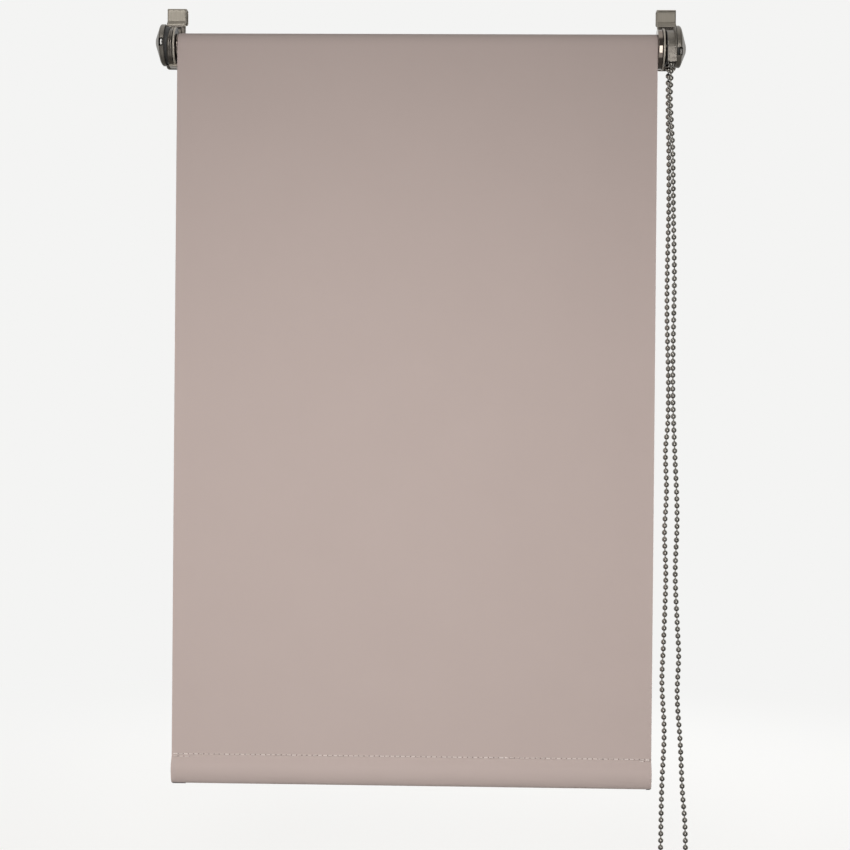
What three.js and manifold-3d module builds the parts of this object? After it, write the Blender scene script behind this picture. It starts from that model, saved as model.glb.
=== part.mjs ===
// A small clip-on roller blind: two hooks hang it on a lip, a ball chain turns the roll,
// and the fabric falls from the front of the roll to a hem with a bar in it.
// Millimetres. X runs along the roll to the right, Y away from the viewer and Z up.
// The origin is midway between the two hooks, on the line where they bear on the lip.

import * as THREE from 'three';
import { mergeVertices } from 'three/addons/utils/BufferGeometryUtils.js';
import Module from 'manifold-3d';

const wasm = await Module();
wasm.setup();

// Clearances
const fit = 0.3;
const overrun = 1;
const mergeDistance = 0.0005;

// Fineness of the round faces, in steps
const turnSteps = 24;
const smallSteps = 16;
const arcSteps = 10;
const bendSteps = 4;
const ballSides = 4;
const wireSides = 5;
const pocketSteps = 8;
const pocketRings = 5;
const clutchStepsPerTurn = 10;
const idleStepsPerTurn = 8;

// Hooks
const stripWidth = 16.8;
const stripThickness = 1.2;
const lipDepth = 9;
const rearLegDrop = 12;
const frontLegDrop = 10.5;
const joggleRise = 2.6;
const joggleStep = 2.4;
const stripDrop = 54;
const bendRadius = 1.6;
const joggleRadius = 1;
const stripCorner = 2.5;

// Where the roll's axis lies from the bearing line, forward of the guard's rear
const axisStandoff = 7.9;
const axisDrop = 39.4;

// Tube and fabric
const fabricWidth = 418.5;
const fabricThickness = 0.35;
const layersWhenDown = 8;
const tubeRadius = 10;
const tubeWall = 1;
const hemBottomDrop = 645.4;
const hemHeight = 26.2;

// Bottom bar and its plugs
const barHeight = 19;
const barThickness = 8;
const barWall = 1.2;
const barInset = 1.1;
const barPlugFlange = 0.8;
const barPlugDepth = 9;

// Side plates
const plateStand = 1.4;
const plateThickness = 1.7;
const leftPlateInset = 3.1;
const rightPlateInset = 4.8;
const footThickness = 2;
const footTopDrop = 15.1;
const screwBossRadius = 3;
const screwBossLength = 3;
const screwTopInset = 5.5;
const screwLowInset = 4;

// Bracket screws
const screwRadius = 1.25;
const screwHeadRadius = 2.8;
const screwHeadHeight = 1.3;

// Left end, from the fabric outwards
const idlePlateGap = 2.1;
const bodyGap = 0.9;
const bodyThickness = 3.2;
const bodyInset = 1;
const capRecess = 3.7;
const hubRadius = 7.5;
const lipStand = 0.2;
const lipThickness = 1.7;
const lipHalfAngle = 44 * Math.PI / 180;
const lipOverhang = 1.3;

// Right end, from the fabric outwards
const collarWidth = 4;
const collarInset = 0.8;
const collarRunningGap = 0.4;
const guardGap = 1.4;
const guardWidth = 8.2;
const guardRoom = 3.9;
const guardWall = 1;
const guardShell = 1.3;
const apronDrop = 13.1;
const apronPad = 0.5;
const apronPadRise = 1.2;
const guardBackDrop = 5;
const guardDiscStand = 0.8;
const pegRadius = 1.4;
const pegInset = 3.4;

// End caps
const capStand = 1.5;
const capDepth = 9.4;
const capWall = 1.4;
const capRise = 2.4;
const capLean = 2.4;
const capSkirt = 2.6;
const capShoulderInset = 2.9;
const capShoulderDepth = 4.9;
const capTipRadius = 4;
const capTipDepth = 9;
const portInset = 0.7;
const portWidth = 3.5;
const portHeight = 7.2;
const leftPortDrop = 0.7;
const rightPortDrop = 7.4;
const spigotWall = 1.4;
const spigotReach = 2.3;
const latchWidth = 2.1;
const latchHeight = 5.8;
const latchStand = 1.2;

// Ball chain and its wheel
const ballPitch = 6;
const ballRadius = 2.05;
const ballFlat = 0.75;
const linkRadius = 0.5;
const wheelPockets = 12;
const pocketRadius = 2.65;
const wheelWidth = 5.6;
const wheelLip = 1.1;
const linkSlotWidth = 2.8;
const linkSlotDepth = 1.3;
const connectorLength = 10;
const connectorRadius = 2.9;

// Clutch: post, wrap spring, wheel sleeve and drive plug
const plugWall = 1.1;
const postShoulder = 1;
const postFlat = 1;
const postTail = 3.5;
const clutchWire = 0.9;
const clutchTurns = 6;
const clutchPitch = 1.45;
const clutchTang = 1;
const sleeveWall = 0.8;
const sleeveReach = 14;
const slotHalfAngle = 26 * Math.PI / 180;
const tangAngle = 16 * Math.PI / 180;
const ribWidth = 1.1;
const ribDepth = 0.9;
const plugReach = 31;
const plugEndWall = 4;
const hubFlangeRadius = 10.2;
const postScrewShare = 0.375;
const postScrewHead = 4.9;
const postScrewHeadHeight = 1.6;
const postScrewDepth = 8;
const clipThickness = 0.9;
const clipStand = 1.6;
const clipGrooveDepth = 0.8;
const clipOpening = 50 * Math.PI / 180;

// Idle plug and its sprung pin
const idlePlugReach = 24.4;
const idleFlangeRadius = 10.8;
const idleFlangeThickness = 0.9;
const idlePinRadius = 3;
const idleShoulderRadius = 4.3;
const idleShoulderLength = 1.9;
const idleStemRadius = 2.6;
const idleStemLength = 8;
const idlePinReach = 7.2;
const idleCavityWall = 3.8;
const idleWire = 0.6;
const idleTurns = 7;
const socketFloor = 0.4;

// Round sizes, each from the one inside it; the wheel is rounded to a tenth
const wheelPitchRadius = ballPitch / 2 / Math.sin(Math.PI / wheelPockets);
const wheelRadius = Math.round((wheelPitchRadius + wheelLip) * 10) / 10;
const guardRadius = wheelRadius + guardRoom;
const guardDiscRadius = guardRadius + guardDiscStand;
const pegCircle = guardRadius - pegInset;
const plateRadius = guardRadius + plateStand;
const bodyRadius = plateRadius - bodyInset;
const lipRadius = plateRadius + lipStand;
const collarRadius = plateRadius - collarInset;
const capRadius = guardRadius + capStand;
const capShoulderRadius = capRadius - capShoulderInset;
const axisForward = guardRadius + axisStandoff;

// Places worked out from the sizes above
const rollRadius = tubeRadius + layersWhenDown * fabricThickness;
const tubeBore = tubeRadius - tubeWall;
const sheetY = -rollRadius + fabricThickness / 2;
const leftStack = leftPlateInset + plateThickness + idlePlateGap;
const rightStack = fit + collarWidth + collarRunningGap + plateThickness + rightPlateInset;
const hookX = (leftStack + fabricWidth + rightStack) / 2;
const fabricLeft = -hookX + leftStack;
const fabricRight = fabricLeft + fabricWidth;
const footBack = axisForward - stripThickness - joggleStep - fit;
const footFront = footBack - footThickness;
const footTop = axisDrop - footTopDrop;
const footBottom = axisDrop - stripDrop + stripThickness / 2;
const screwHeights = [footTop - screwTopInset, footBottom + screwLowInset];
const leftPlateInner = fabricLeft - idlePlateGap;
const leftPlateOuter = leftPlateInner - plateThickness;
const bodyInner = leftPlateOuter - bodyGap;
const bodyOuter = bodyInner - bodyThickness;
const leftCapRim = bodyOuter - capRecess;
const collarInner = fabricRight + fit;
const collarOuter = collarInner + collarWidth;
const rightPlateInner = collarOuter + collarRunningGap;
const rightPlateOuter = rightPlateInner + plateThickness;
const guardInner = rightPlateOuter + guardGap;
const guardOuter = guardInner + guardWidth;
const rightCapRim = guardOuter + fit;
const wheelX = (guardInner + guardOuter) / 2;
const chainY = wheelPitchRadius * Math.cos(Math.PI / wheelPockets);
const wrapDrop = 2 * ballPitch;
const spigotRadius = capRadius - capWall - fit;
const plugRadius = tubeBore - fit;
const plugBore = plugRadius - plugWall;
const sleeveRadius = plugBore - fit;
const sleeveBore = sleeveRadius - sleeveWall;
const springBore = sleeveBore - clutchWire - fit;
const drumRadius = springBore - fit;
const postRadius = drumRadius - postShoulder;
const postScrewRadius = postRadius * postScrewShare;
const clipRadius = postRadius + clipStand;
const plateHole = sleeveRadius + 2 * fit;
const postSeat = guardOuter - fit;
const plugLeft = fabricRight - plugReach;
const clipRight = plugLeft - fit;
const clipLeft = clipRight - clipThickness;
const postLeft = clipLeft - fit - postTail;
const chamberLeft = plugLeft + plugEndWall;
const hemTop = -hemBottomDrop + hemHeight;
const socketEnd = bodyOuter + socketFloor;

// Route of the chain's front strand below the wheel: X from the wheel's middle, then Y and Z from
// the roll's axis
const frontRoute = [
  [-0.2, -11.0, -28], [-0.4, -10.7, -46], [1, -10.3, -69], [2.3, -9.9, -93],
  [3.4, -9.0, -146], [4.8, -8.2, -200], [4.4, -7.3, -253], [4.6, -6.5, -301],
  [6.7, -5.7, -350], [9, -5.0, -392], [9.5, -4.6, -416], [8.4, -3.9, -458],
  [10.9, -3.2, -506], [12.2, -2.8, -529], [11.3, -2.2, -565], [14.4, -1.5, -606],
  [16.8, -0.8, -649], [19.3, -0.4, -678], [20.1, 0, -710], [20, 0, -738],
  [18.4, 0, -744.6], [14.4, 0, -749.2],
];

// Route of the rear strand, which hangs behind the wheel
const rearRoute = [
  [0, 11.0, -32], [0.2, 10.6, -56], [1.1, 10.0, -94], [1.3, 9.2, -143],
  [0.5, 8.4, -190], [0.5, 7.7, -232], [2.2, 6.7, -292], [1.8, 6.1, -328],
  [0, 5.8, -351], [1.2, 5.2, -387], [-0.3, 4.6, -423], [1.1, 4.0, -459],
  [-0.4, 3.0, -519], [-1.6, 2.4, -554], [0.7, 1.7, -597], [-1, 0.9, -644],
  [-1.6, 0.3, -690], [-1.8, 0, -716], [-1.7, 0, -738], [-0.1, 0, -744.6],
  [3.8, 0, -749.2],
];
const connectorX = wheelX + (frontRoute.at(-1)[0] + rearRoute.at(-1)[0]) / 2;
const connectorZ = frontRoute.at(-1)[2] - ballRadius / 8;

// Materials
const steel = new THREE.MeshStandardMaterial({ color: '#9c958a', roughness: 0.38, metalness: 0.9 });
const shell = new THREE.MeshStandardMaterial({ color: '#837d74', roughness: 0.42, metalness: 0.35 });
const bracketShell = new THREE.MeshStandardMaterial({ color: '#6b655d', roughness: 0.4, metalness: 0.4 });
const chrome = new THREE.MeshStandardMaterial({ color: '#4a433d', roughness: 0.12, metalness: 1 });
const cloth = new THREE.MeshStandardMaterial({ color: '#bba9a4', roughness: 0.85, metalness: 0 });
const aluminium = new THREE.MeshStandardMaterial({ color: '#b4b6b8', roughness: 0.35, metalness: 1 });
const plastic = new THREE.MeshStandardMaterial({ color: '#d9d7d2', roughness: 0.5, metalness: 0 });
const darkPlastic = new THREE.MeshStandardMaterial({ color: '#3b3a39', roughness: 0.5, metalness: 0 });
const springSteel = new THREE.MeshStandardMaterial({ color: '#8d8f92', roughness: 0.3, metalness: 1 });
const nickel = new THREE.MeshStandardMaterial({ color: '#b9b8b6', roughness: 0.18, metalness: 1 });

const axisX = new THREE.Vector3(1, 0, 0);
const axisY = new THREE.Vector3(0, 1, 0);
const axisZ = new THREE.Vector3(0, 0, 1);

// A closed mesh: shared corners, no flat triangles, faces pointing out.
function closed(geometry) {
  const bare = new THREE.BufferGeometry();
  bare.setAttribute('position', geometry.getAttribute('position').clone());
  if (geometry.index) bare.setIndex(geometry.index.clone());
  const merged = mergeVertices(bare, mergeDistance);
  const place = merged.getAttribute('position');
  const corners = [new THREE.Vector3(), new THREE.Vector3(), new THREE.Vector3()];
  const faces = [];
  let volume = 0;
  for (let i = 0; i < merged.index.count; i += 3) {
    const face = [0, 1, 2].map((k) => merged.index.getX(i + k));
    if (new Set(face).size < 3) continue;
    face.forEach((v, k) => corners[k].fromBufferAttribute(place, v));
    volume += corners[0].dot(corners[1].clone().cross(corners[2]));
    faces.push(face);
  }
  const ordered = volume < 0 ? faces.map(([a, b, c]) => [a, c, b]) : faces;
  merged.setIndex(ordered.flat());
  return merged;
}

function toSolid(geometry) {
  const mesh = closed(geometry);
  return new wasm.Manifold(new wasm.Mesh({
    numProp: 3,
    vertProperties: new Float32Array(mesh.getAttribute('position').array),
    triVerts: new Uint32Array(mesh.index.array),
  }));
}

function fromSolid(solid) {
  const { vertProperties, triVerts } = solid.getMesh();
  const geometry = new THREE.BufferGeometry();
  geometry.setAttribute('position', new THREE.BufferAttribute(new Float32Array(vertProperties), 3));
  geometry.setIndex(Array.from(triVerts));
  return geometry;
}

// The first geometry with the others joined to it and the cuts taken away.
function carved(parts, cuts = []) {
  let solid = toSolid(parts[0]);
  for (const part of parts.slice(1)) solid = solid.add(toSolid(part));
  for (const cut of cuts) solid = solid.subtract(toSolid(cut));
  return fromSolid(solid);
}

// An outline in Y and Z, given thickness along X.
function slab(outline, from, to, steps = arcSteps) {
  const depth = to - from;
  const block = new THREE.ExtrudeGeometry(outline, { depth, bevelEnabled: false, curveSegments: steps });
  const basis = new THREE.Matrix4().makeBasis(axisY, axisZ, axisX);
  return block.applyMatrix4(basis).translate(from, 0, 0);
}

// An outline in X and Z, given thickness along Y.
function panel(outline, from, to) {
  const depth = to - from;
  const block = new THREE.ExtrudeGeometry(outline, { depth, bevelEnabled: false, curveSegments: bendSteps });
  const basis = new THREE.Matrix4().makeBasis(axisX, axisZ, axisY.clone().negate());
  return block.applyMatrix4(basis).translate(0, to, 0);
}

// A profile of X places and radii, turned about the roll's axis.
function turned(profile, steps = turnSteps) {
  const points = profile.map(([x, radius]) => new THREE.Vector2(radius, x));
  return new THREE.LatheGeometry(points, steps).rotateZ(-Math.PI / 2);
}

function rod(radius, from, to, steps = turnSteps) {
  return turned([[from, 0], [from, radius], [to, radius], [to, 0]], steps);
}

function ring(inner, outer, from, to, steps = turnSteps) {
  return turned([[from, inner], [from, outer], [to, outer], [to, inner], [from, inner]], steps);
}

// A rod that runs along Y, for screws and their holes.
function crossRod(radius, x, z, from, to, steps = smallSteps * 0.75) {
  return rod(radius, from, to, steps).rotateZ(Math.PI / 2).translate(x, 0, z);
}

function box(x0, x1, y0, y1, z0, z1) {
  const block = new THREE.BoxGeometry(x1 - x0, y1 - y0, z1 - z0);
  return block.translate((x0 + x1) / 2, (y0 + y1) / 2, (z0 + z1) / 2);
}

function roundedRectangle(x0, x1, z0, z1, corner) {
  const shape = new THREE.Shape();
  shape.moveTo(x0 + corner, z0);
  shape.lineTo(x1 - corner, z0);
  shape.absarc(x1 - corner, z0 + corner, corner, -Math.PI / 2, 0, false);
  shape.lineTo(x1, z1 - corner);
  shape.absarc(x1 - corner, z1 - corner, corner, 0, Math.PI / 2, false);
  shape.lineTo(x0 + corner, z1);
  shape.absarc(x0 + corner, z1 - corner, corner, Math.PI / 2, Math.PI, false);
  shape.lineTo(x0, z0 + corner);
  shape.absarc(x0 + corner, z0 + corner, corner, Math.PI, Math.PI * 3 / 2, false);
  return shape;
}

// A tube lofted through rings of given radii, held upright by a reference direction.
function lofted(points, radii, reference, sides) {
  const positions = [];
  const faces = [];
  points.forEach((point, i) => {
    const before = points[Math.max(i - 1, 0)];
    const after = points[Math.min(i + 1, points.length - 1)];
    const along = after.clone().sub(before).normalize();
    const across = reference.clone().addScaledVector(along, -reference.dot(along)).normalize();
    const up = along.clone().cross(across);
    for (let k = 0; k < sides; k += 1) {
      const angle = 2 * Math.PI * k / sides;
      const corner = point.clone();
      corner.addScaledVector(across, radii[i] * Math.cos(angle));
      corner.addScaledVector(up, radii[i] * Math.sin(angle));
      positions.push(...corner.toArray());
    }
  });
  for (let i = 0; i < points.length - 1; i += 1) {
    for (let k = 0; k < sides; k += 1) {
      const a = i * sides + k;
      const b = i * sides + (k + 1) % sides;
      faces.push(a, b, b + sides, a, b + sides, a + sides);
    }
  }
  const last = (points.length - 1) * sides;
  for (let k = 1; k < sides - 1; k += 1) {
    faces.push(0, k + 1, k);
    faces.push(last, last + k, last + k + 1);
  }
  const geometry = new THREE.BufferGeometry();
  geometry.setAttribute('position', new THREE.Float32BufferAttribute(positions, 3));
  geometry.setIndex(faces);
  return geometry;
}

// The least gap between turns of a wire, measured on points of its route.
function leastGap(points, wire, pointsPerTurn) {
  let least = Infinity;
  for (let i = 0; i < points.length; i += 1) {
    for (let j = i + Math.floor(pointsPerTurn / 2); j < points.length; j += 1) {
      least = Math.min(least, points[i].distanceTo(points[j]) - wire);
    }
  }
  return least;
}

// A pressed strip that runs through given places, with a radius for each bend between them.
function stripOutline(corners, radii, thickness) {
  const middle = [new THREE.Vector2(...corners[0])];
  for (let i = 1; i < corners.length - 1; i += 1) {
    const at = new THREE.Vector2(...corners[i]);
    const into = at.clone().sub(new THREE.Vector2(...corners[i - 1])).normalize();
    const out = new THREE.Vector2(...corners[i + 1]).sub(at).normalize();
    const radius = radii[i - 1];
    const turn = Math.atan2(into.cross(out), into.dot(out));
    const reach = radius * Math.tan(Math.abs(turn) / 2);
    const start = at.clone().addScaledVector(into, -reach);
    const side = new THREE.Vector2(-into.y, into.x).multiplyScalar(Math.sign(turn));
    const centre = start.clone().addScaledVector(side, radius);
    for (let k = 0; k <= bendSteps; k += 1) {
      const arm = start.clone().sub(centre);
      arm.rotateAround(new THREE.Vector2(), turn * k / bendSteps);
      middle.push(centre.clone().add(arm));
    }
  }
  middle.push(new THREE.Vector2(...corners.at(-1)));
  const offset = (side) => middle.map((point, i) => {
    const before = point.clone().sub(middle[Math.max(i - 1, 0)]).normalize();
    const after = middle[Math.min(i + 1, middle.length - 1)].clone().sub(point).normalize();
    const along = before.clone().add(after).normalize();
    const half = i === 0 || i === middle.length - 1 ? 1 : before.dot(along);
    const normal = new THREE.Vector2(-along.y, along.x);
    return point.clone().addScaledVector(normal, side * thickness / 2 / half);
  });
  return new THREE.Shape([...offset(1), ...offset(-1).reverse()]);
}

function hanger(side) {
  const half = stripThickness / 2;
  const corners = [
    [lipDepth + half, -rearLegDrop],
    [lipDepth + half, half],
    [-half, half],
    [-half, -frontLegDrop],
    [-half - joggleStep, -frontLegDrop - joggleRise],
    [-half - joggleStep, -stripDrop],
  ];
  const left = side * hookX - stripWidth / 2;
  const right = left + stripWidth;
  const radii = [bendRadius, bendRadius, joggleRadius, joggleRadius];
  const strip = slab(stripOutline(corners, radii, stripThickness), left, right);
  const span = roundedRectangle(left, right, -stripDrop, stripThickness * 2, stripCorner);
  const trimmed = toSolid(strip).intersect(toSolid(panel(span, -axisForward, lipDepth * 2)));
  let solid = trimmed;
  for (const height of screwHeights) {
    const z = height - axisDrop;
    const hole = crossRod(screwRadius + fit, side * hookX, z, -axisForward, 0);
    solid = solid.subtract(toSolid(hole));
  }
  return fromSolid(solid);
}

// The side plate: a disc whose arm sweeps back to the foot on the strip.
function plateOutline() {
  const start = 76 * Math.PI / 180;
  const end = 308 * Math.PI / 180;
  const shape = new THREE.Shape();
  shape.absarc(0, 0, plateRadius, start, end, false);
  shape.lineTo(footBack - footThickness / 2, footBottom + stripCorner);
  shape.lineTo(footBack - footThickness / 2, footTop - stripCorner);
  const startY = plateRadius * Math.cos(start);
  const startZ = plateRadius * Math.sin(start);
  shape.quadraticCurveTo(footFront - stripCorner, startZ, startY, startZ);
  return shape;
}

function foot(side) {
  const middle = side * hookX;
  const outline = roundedRectangle(
    middle - stripWidth / 2, middle + stripWidth / 2, footBottom, footTop, stripCorner,
  );
  const bosses = screwHeights.map((z) => (
    crossRod(screwBossRadius, middle, z, footFront - screwBossLength, footFront + fit)
  ));
  return [panel(outline, footFront, footBack), ...bosses];
}

function screwHoles(side) {
  return screwHeights.map((z) => (
    crossRod(screwRadius + fit, side * hookX, z, footFront - screwBossLength - overrun, footBack + overrun)
  ));
}

// The ring that a cap snaps over, with the latch that stands in the cap's port.
function spigot(side, from, rim, portDrop) {
  const tip = rim + side * spigotReach;
  const ends = [Math.min(from, tip), Math.max(from, tip)];
  const wall = ring(spigotRadius - spigotWall, spigotRadius, ends[0], ends[1]).translate(0, 0, capRise);
  const reach = Math.sqrt(spigotRadius ** 2 - portDrop ** 2);
  const near = rim + side * (portInset + fit);
  const far = near + side * latchWidth;
  const latch = box(
    Math.min(near, far), Math.max(near, far), -reach - latchStand, -reach + spigotWall,
    capRise - portDrop - latchHeight / 2, capRise - portDrop + latchHeight / 2,
  );
  return [wall, latch];
}

function bracketLeft() {
  const lip = new THREE.Shape();
  const low = -Math.PI / 2;
  lip.absarc(0, 0, lipRadius, low - lipHalfAngle, low + lipHalfAngle, false);
  lip.absarc(0, 0, lipRadius - lipThickness, low + lipHalfAngle, low - lipHalfAngle, true);
  const socket = rod(idlePinRadius + fit, socketEnd, leftPlateInner + overrun);
  return carved([
    slab(plateOutline(), leftPlateOuter, leftPlateInner),
    rod(bodyRadius, bodyOuter, bodyInner),
    rod(hubRadius, bodyOuter, leftPlateInner),
    slab(lip, bodyOuter, leftPlateInner + lipOverhang, arcSteps / 2),
    ...foot(-1),
    ...spigot(-1, bodyOuter + fit, leftCapRim, leftPortDrop),
  ], [socket, ...screwHoles(-1)]);
}

function pegPlaces() {
  return [60, 180, 300].map((degrees) => {
    const angle = degrees * Math.PI / 180;
    return [pegCircle * Math.cos(angle), pegCircle * Math.sin(angle)];
  });
}

function bracketRight() {
  const cuts = [rod(plateHole, rightPlateInner - overrun, rightPlateOuter + overrun)];
  for (const [y, z] of pegPlaces()) {
    const hole = rod(pegRadius + fit, rightPlateInner - overrun, rightPlateOuter + overrun, smallSteps / 2);
    cuts.push(hole.translate(0, y, z));
  }
  return carved([
    slab(plateOutline(), rightPlateInner, rightPlateOuter),
    ...foot(1),
  ], [...cuts, ...screwHoles(1)]);
}

function bracketScrew(side, z) {
  const strip = footBack + fit;
  const headFace = strip + stripThickness + fit;
  const tip = footFront - screwBossLength + fit;
  const profile = [
    [tip, 0],
    [tip + screwRadius, screwRadius],
    [headFace, screwRadius],
    [headFace, screwHeadRadius],
    [headFace + screwHeadHeight / 2, screwHeadRadius],
    [headFace + screwHeadHeight, screwHeadRadius / 2],
    [headFace + screwHeadHeight, 0],
  ];
  return turned(profile, smallSteps * 0.75).rotateZ(Math.PI / 2).translate(side * hookX, 0, z);
}

// A domed cap whose rim is at X zero and whose tip points along +X, leaning up towards the tip.
function capBlank() {
  const outer = new THREE.Path();
  outer.moveTo(capRadius, 0);
  outer.lineTo(capRadius, capSkirt);
  outer.quadraticCurveTo(capRadius, capShoulderDepth - capWall / 2, capShoulderRadius, capShoulderDepth);
  outer.lineTo(capTipRadius, capTipDepth);
  outer.quadraticCurveTo(capTipRadius / 2, capDepth, 0, capDepth);
  const inner = new THREE.Path();
  inner.moveTo(0, capDepth - capWall);
  inner.lineTo(capTipRadius - capWall / 2, capTipDepth - capWall);
  inner.lineTo(capShoulderRadius - capWall, capShoulderDepth - capWall * 0.8);
  inner.lineTo(capRadius - capWall, capSkirt - capWall / 4);
  inner.lineTo(capRadius - capWall, 0);
  const profile = [...outer.getPoints(bendSteps), ...inner.getPoints(bendSteps)];
  profile.push(profile[0]);
  const dome = turned(profile.map((point) => [point.y, point.x]));
  const place = dome.getAttribute('position');
  for (let i = 0; i < place.count; i += 1) {
    const share = Math.max(0, (place.getX(i) - capSkirt) / (capDepth - capSkirt));
    place.setZ(i, place.getZ(i) + capLean * share);
  }
  return dome;
}

function endCap(side, rim, portDrop) {
  const dome = capBlank();
  if (side < 0) dome.scale(-1, 1, 1);
  dome.translate(rim, 0, capRise);
  const near = rim + side * portInset;
  const far = near + side * portWidth;
  const middle = capRise - portDrop;
  const port = box(
    Math.min(near, far), Math.max(near, far), -capRadius - overrun, -capRadius / 2,
    middle - portHeight / 2, middle + portHeight / 2,
  );
  return carved([dome], [port]);
}

// The housing round the wheel: an arch with a straight apron in front, open below for the chain.
function chainGuard() {
  const backAngle = -Math.asin(guardBackDrop / guardRadius);
  const inside = guardRadius - guardShell;
  const arch = new THREE.Shape();
  arch.moveTo(-guardRadius, -apronDrop);
  arch.lineTo(-guardRadius, 0);
  arch.absarc(0, 0, guardRadius, Math.PI, backAngle, true);
  arch.absarc(0, 0, inside, backAngle, Math.PI, false);
  arch.lineTo(-inside, -apronDrop);
  const cutAngle = Math.asin(apronDrop / guardRadius);
  const cheek = new THREE.Shape();
  cheek.absarc(0, 0, guardRadius, -cutAngle, Math.PI + cutAngle, false);
  const pad = roundedRectangle(
    guardInner + guardWall / 2, guardOuter - guardWall / 2, -apronDrop + guardWall / 2, apronPadRise, apronPad,
  );
  const pegs = pegPlaces().map(([y, z]) => (
    rod(pegRadius, rightPlateInner + fit, guardInner + guardWall / 2, smallSteps / 2).translate(0, y, z)
  ));
  const parts = [
    slab(arch, guardInner, guardOuter),
    slab(cheek, guardInner, guardInner + guardWall),
    slab(cheek, guardOuter - guardWall, guardOuter),
    rod(guardDiscRadius, guardOuter - guardWall, guardOuter).translate(0, 0, capRise),
    panel(pad, -guardRadius - apronPad, -guardRadius + apronPad),
    ...pegs,
    ...spigot(1, guardOuter - fit, rightCapRim, rightPortDrop),
  ];
  const sleeveHole = rod(plateHole, guardInner - overrun, guardInner + guardWall + overrun);
  const seat = postEnd(postRadius + fit, guardOuter - guardWall - overrun, guardOuter + overrun, fit);
  return carved(parts, [sleeveHole, seat]);
}

// The end of the clutch post, with a flat that keeps it from turning.
function postEnd(radius, from, to, allowance) {
  const end = toSolid(rod(radius, from, to, smallSteps));
  const flat = postRadius - postFlat + allowance;
  const keep = toSolid(box(from - overrun, to + overrun, -radius, radius, -radius, flat));
  return fromSolid(end.intersect(keep));
}

function clutchPost() {
  const neck = wheelX - wheelWidth / 2 + fit;
  const wallInner = guardOuter - guardWall;
  const grooveLeft = clipLeft - fit;
  const grooveRight = clipRight + fit / 2;
  const body = turned([
    [postLeft, 0],
    [postLeft, postRadius - fit],
    [postLeft + fit, postRadius],
    [grooveLeft, postRadius],
    [grooveLeft, postRadius - clipGrooveDepth],
    [grooveRight, postRadius - clipGrooveDepth],
    [grooveRight, postRadius],
    [chamberLeft + fit, postRadius],
    [chamberLeft + fit, drumRadius],
    [neck, drumRadius],
    [neck, postRadius],
    [wallInner - fit, postRadius],
    [wallInner - fit, 0],
  ], smallSteps);
  const end = postEnd(postRadius, wallInner - overrun, postSeat, 0);
  const hole = rod(postScrewRadius + fit, postSeat - postScrewDepth - fit, postSeat + overrun, smallSteps / 2);
  return carved([body, end], [hole]);
}

function postScrew() {
  const headFace = guardOuter + fit;
  return turned([
    [postSeat - postScrewDepth, 0],
    [postSeat - postScrewDepth + postScrewRadius, postScrewRadius],
    [headFace, postScrewRadius],
    [headFace, postScrewHead],
    [headFace + postScrewHeadHeight / 2, postScrewHead],
    [headFace + postScrewHeadHeight, postScrewHead / 2],
    [headFace + postScrewHeadHeight, 0],
  ], smallSteps);
}

function postClip() {
  const shape = new THREE.Shape();
  const inner = postRadius - clipGrooveDepth + fit;
  shape.absarc(0, 0, clipRadius, -Math.PI / 2 + clipOpening, Math.PI * 3 / 2 - clipOpening, false);
  shape.absarc(0, 0, inner, Math.PI * 3 / 2 - clipOpening, -Math.PI / 2 + clipOpening, true);
  return slab(shape, clipLeft, clipRight, smallSteps / 2);
}

// The wheel: pockets for the balls, a slot for the links and a sleeve with a slot for the spring.
function chainWheel() {
  const left = wheelX - wheelWidth / 2;
  const right = wheelX + wheelWidth / 2;
  const sleeveLeft = collarOuter - sleeveReach;
  const web = left + fit + fit;
  const blank = turned([
    [sleeveLeft, sleeveBore],
    [sleeveLeft, sleeveRadius],
    [left, sleeveRadius],
    [left, wheelRadius],
    [right, wheelRadius],
    [right, postRadius + fit],
    [web, postRadius + fit],
    [web, sleeveBore],
    [sleeveLeft, sleeveBore],
  ]);
  const cuts = [];
  for (let i = 0; i < wheelPockets; i += 1) {
    const angle = 2 * Math.PI * (i + 0.5) / wheelPockets;
    const pocket = new THREE.SphereGeometry(pocketRadius, pocketSteps, pocketRings);
    pocket.rotateZ(Math.PI / 2);
    pocket.translate(wheelX, wheelPitchRadius * Math.cos(angle), wheelPitchRadius * Math.sin(angle));
    cuts.push(pocket);
  }
  const slotLeft = wheelX - linkSlotWidth / 2;
  const slotRight = wheelX + linkSlotWidth / 2;
  cuts.push(ring(wheelPitchRadius - linkSlotDepth, wheelRadius + overrun, slotLeft, slotRight));
  const sleeveSlot = new THREE.Shape();
  const middle = Math.PI / 2;
  sleeveSlot.absarc(0, 0, sleeveRadius + overrun, middle - slotHalfAngle, middle + slotHalfAngle, false);
  sleeveSlot.absarc(0, 0, sleeveBore - fit, middle + slotHalfAngle, middle - slotHalfAngle, true);
  cuts.push(slab(sleeveSlot, sleeveLeft - overrun, rightPlateInner, bendSteps));
  return carved([blank], cuts);
}

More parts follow.
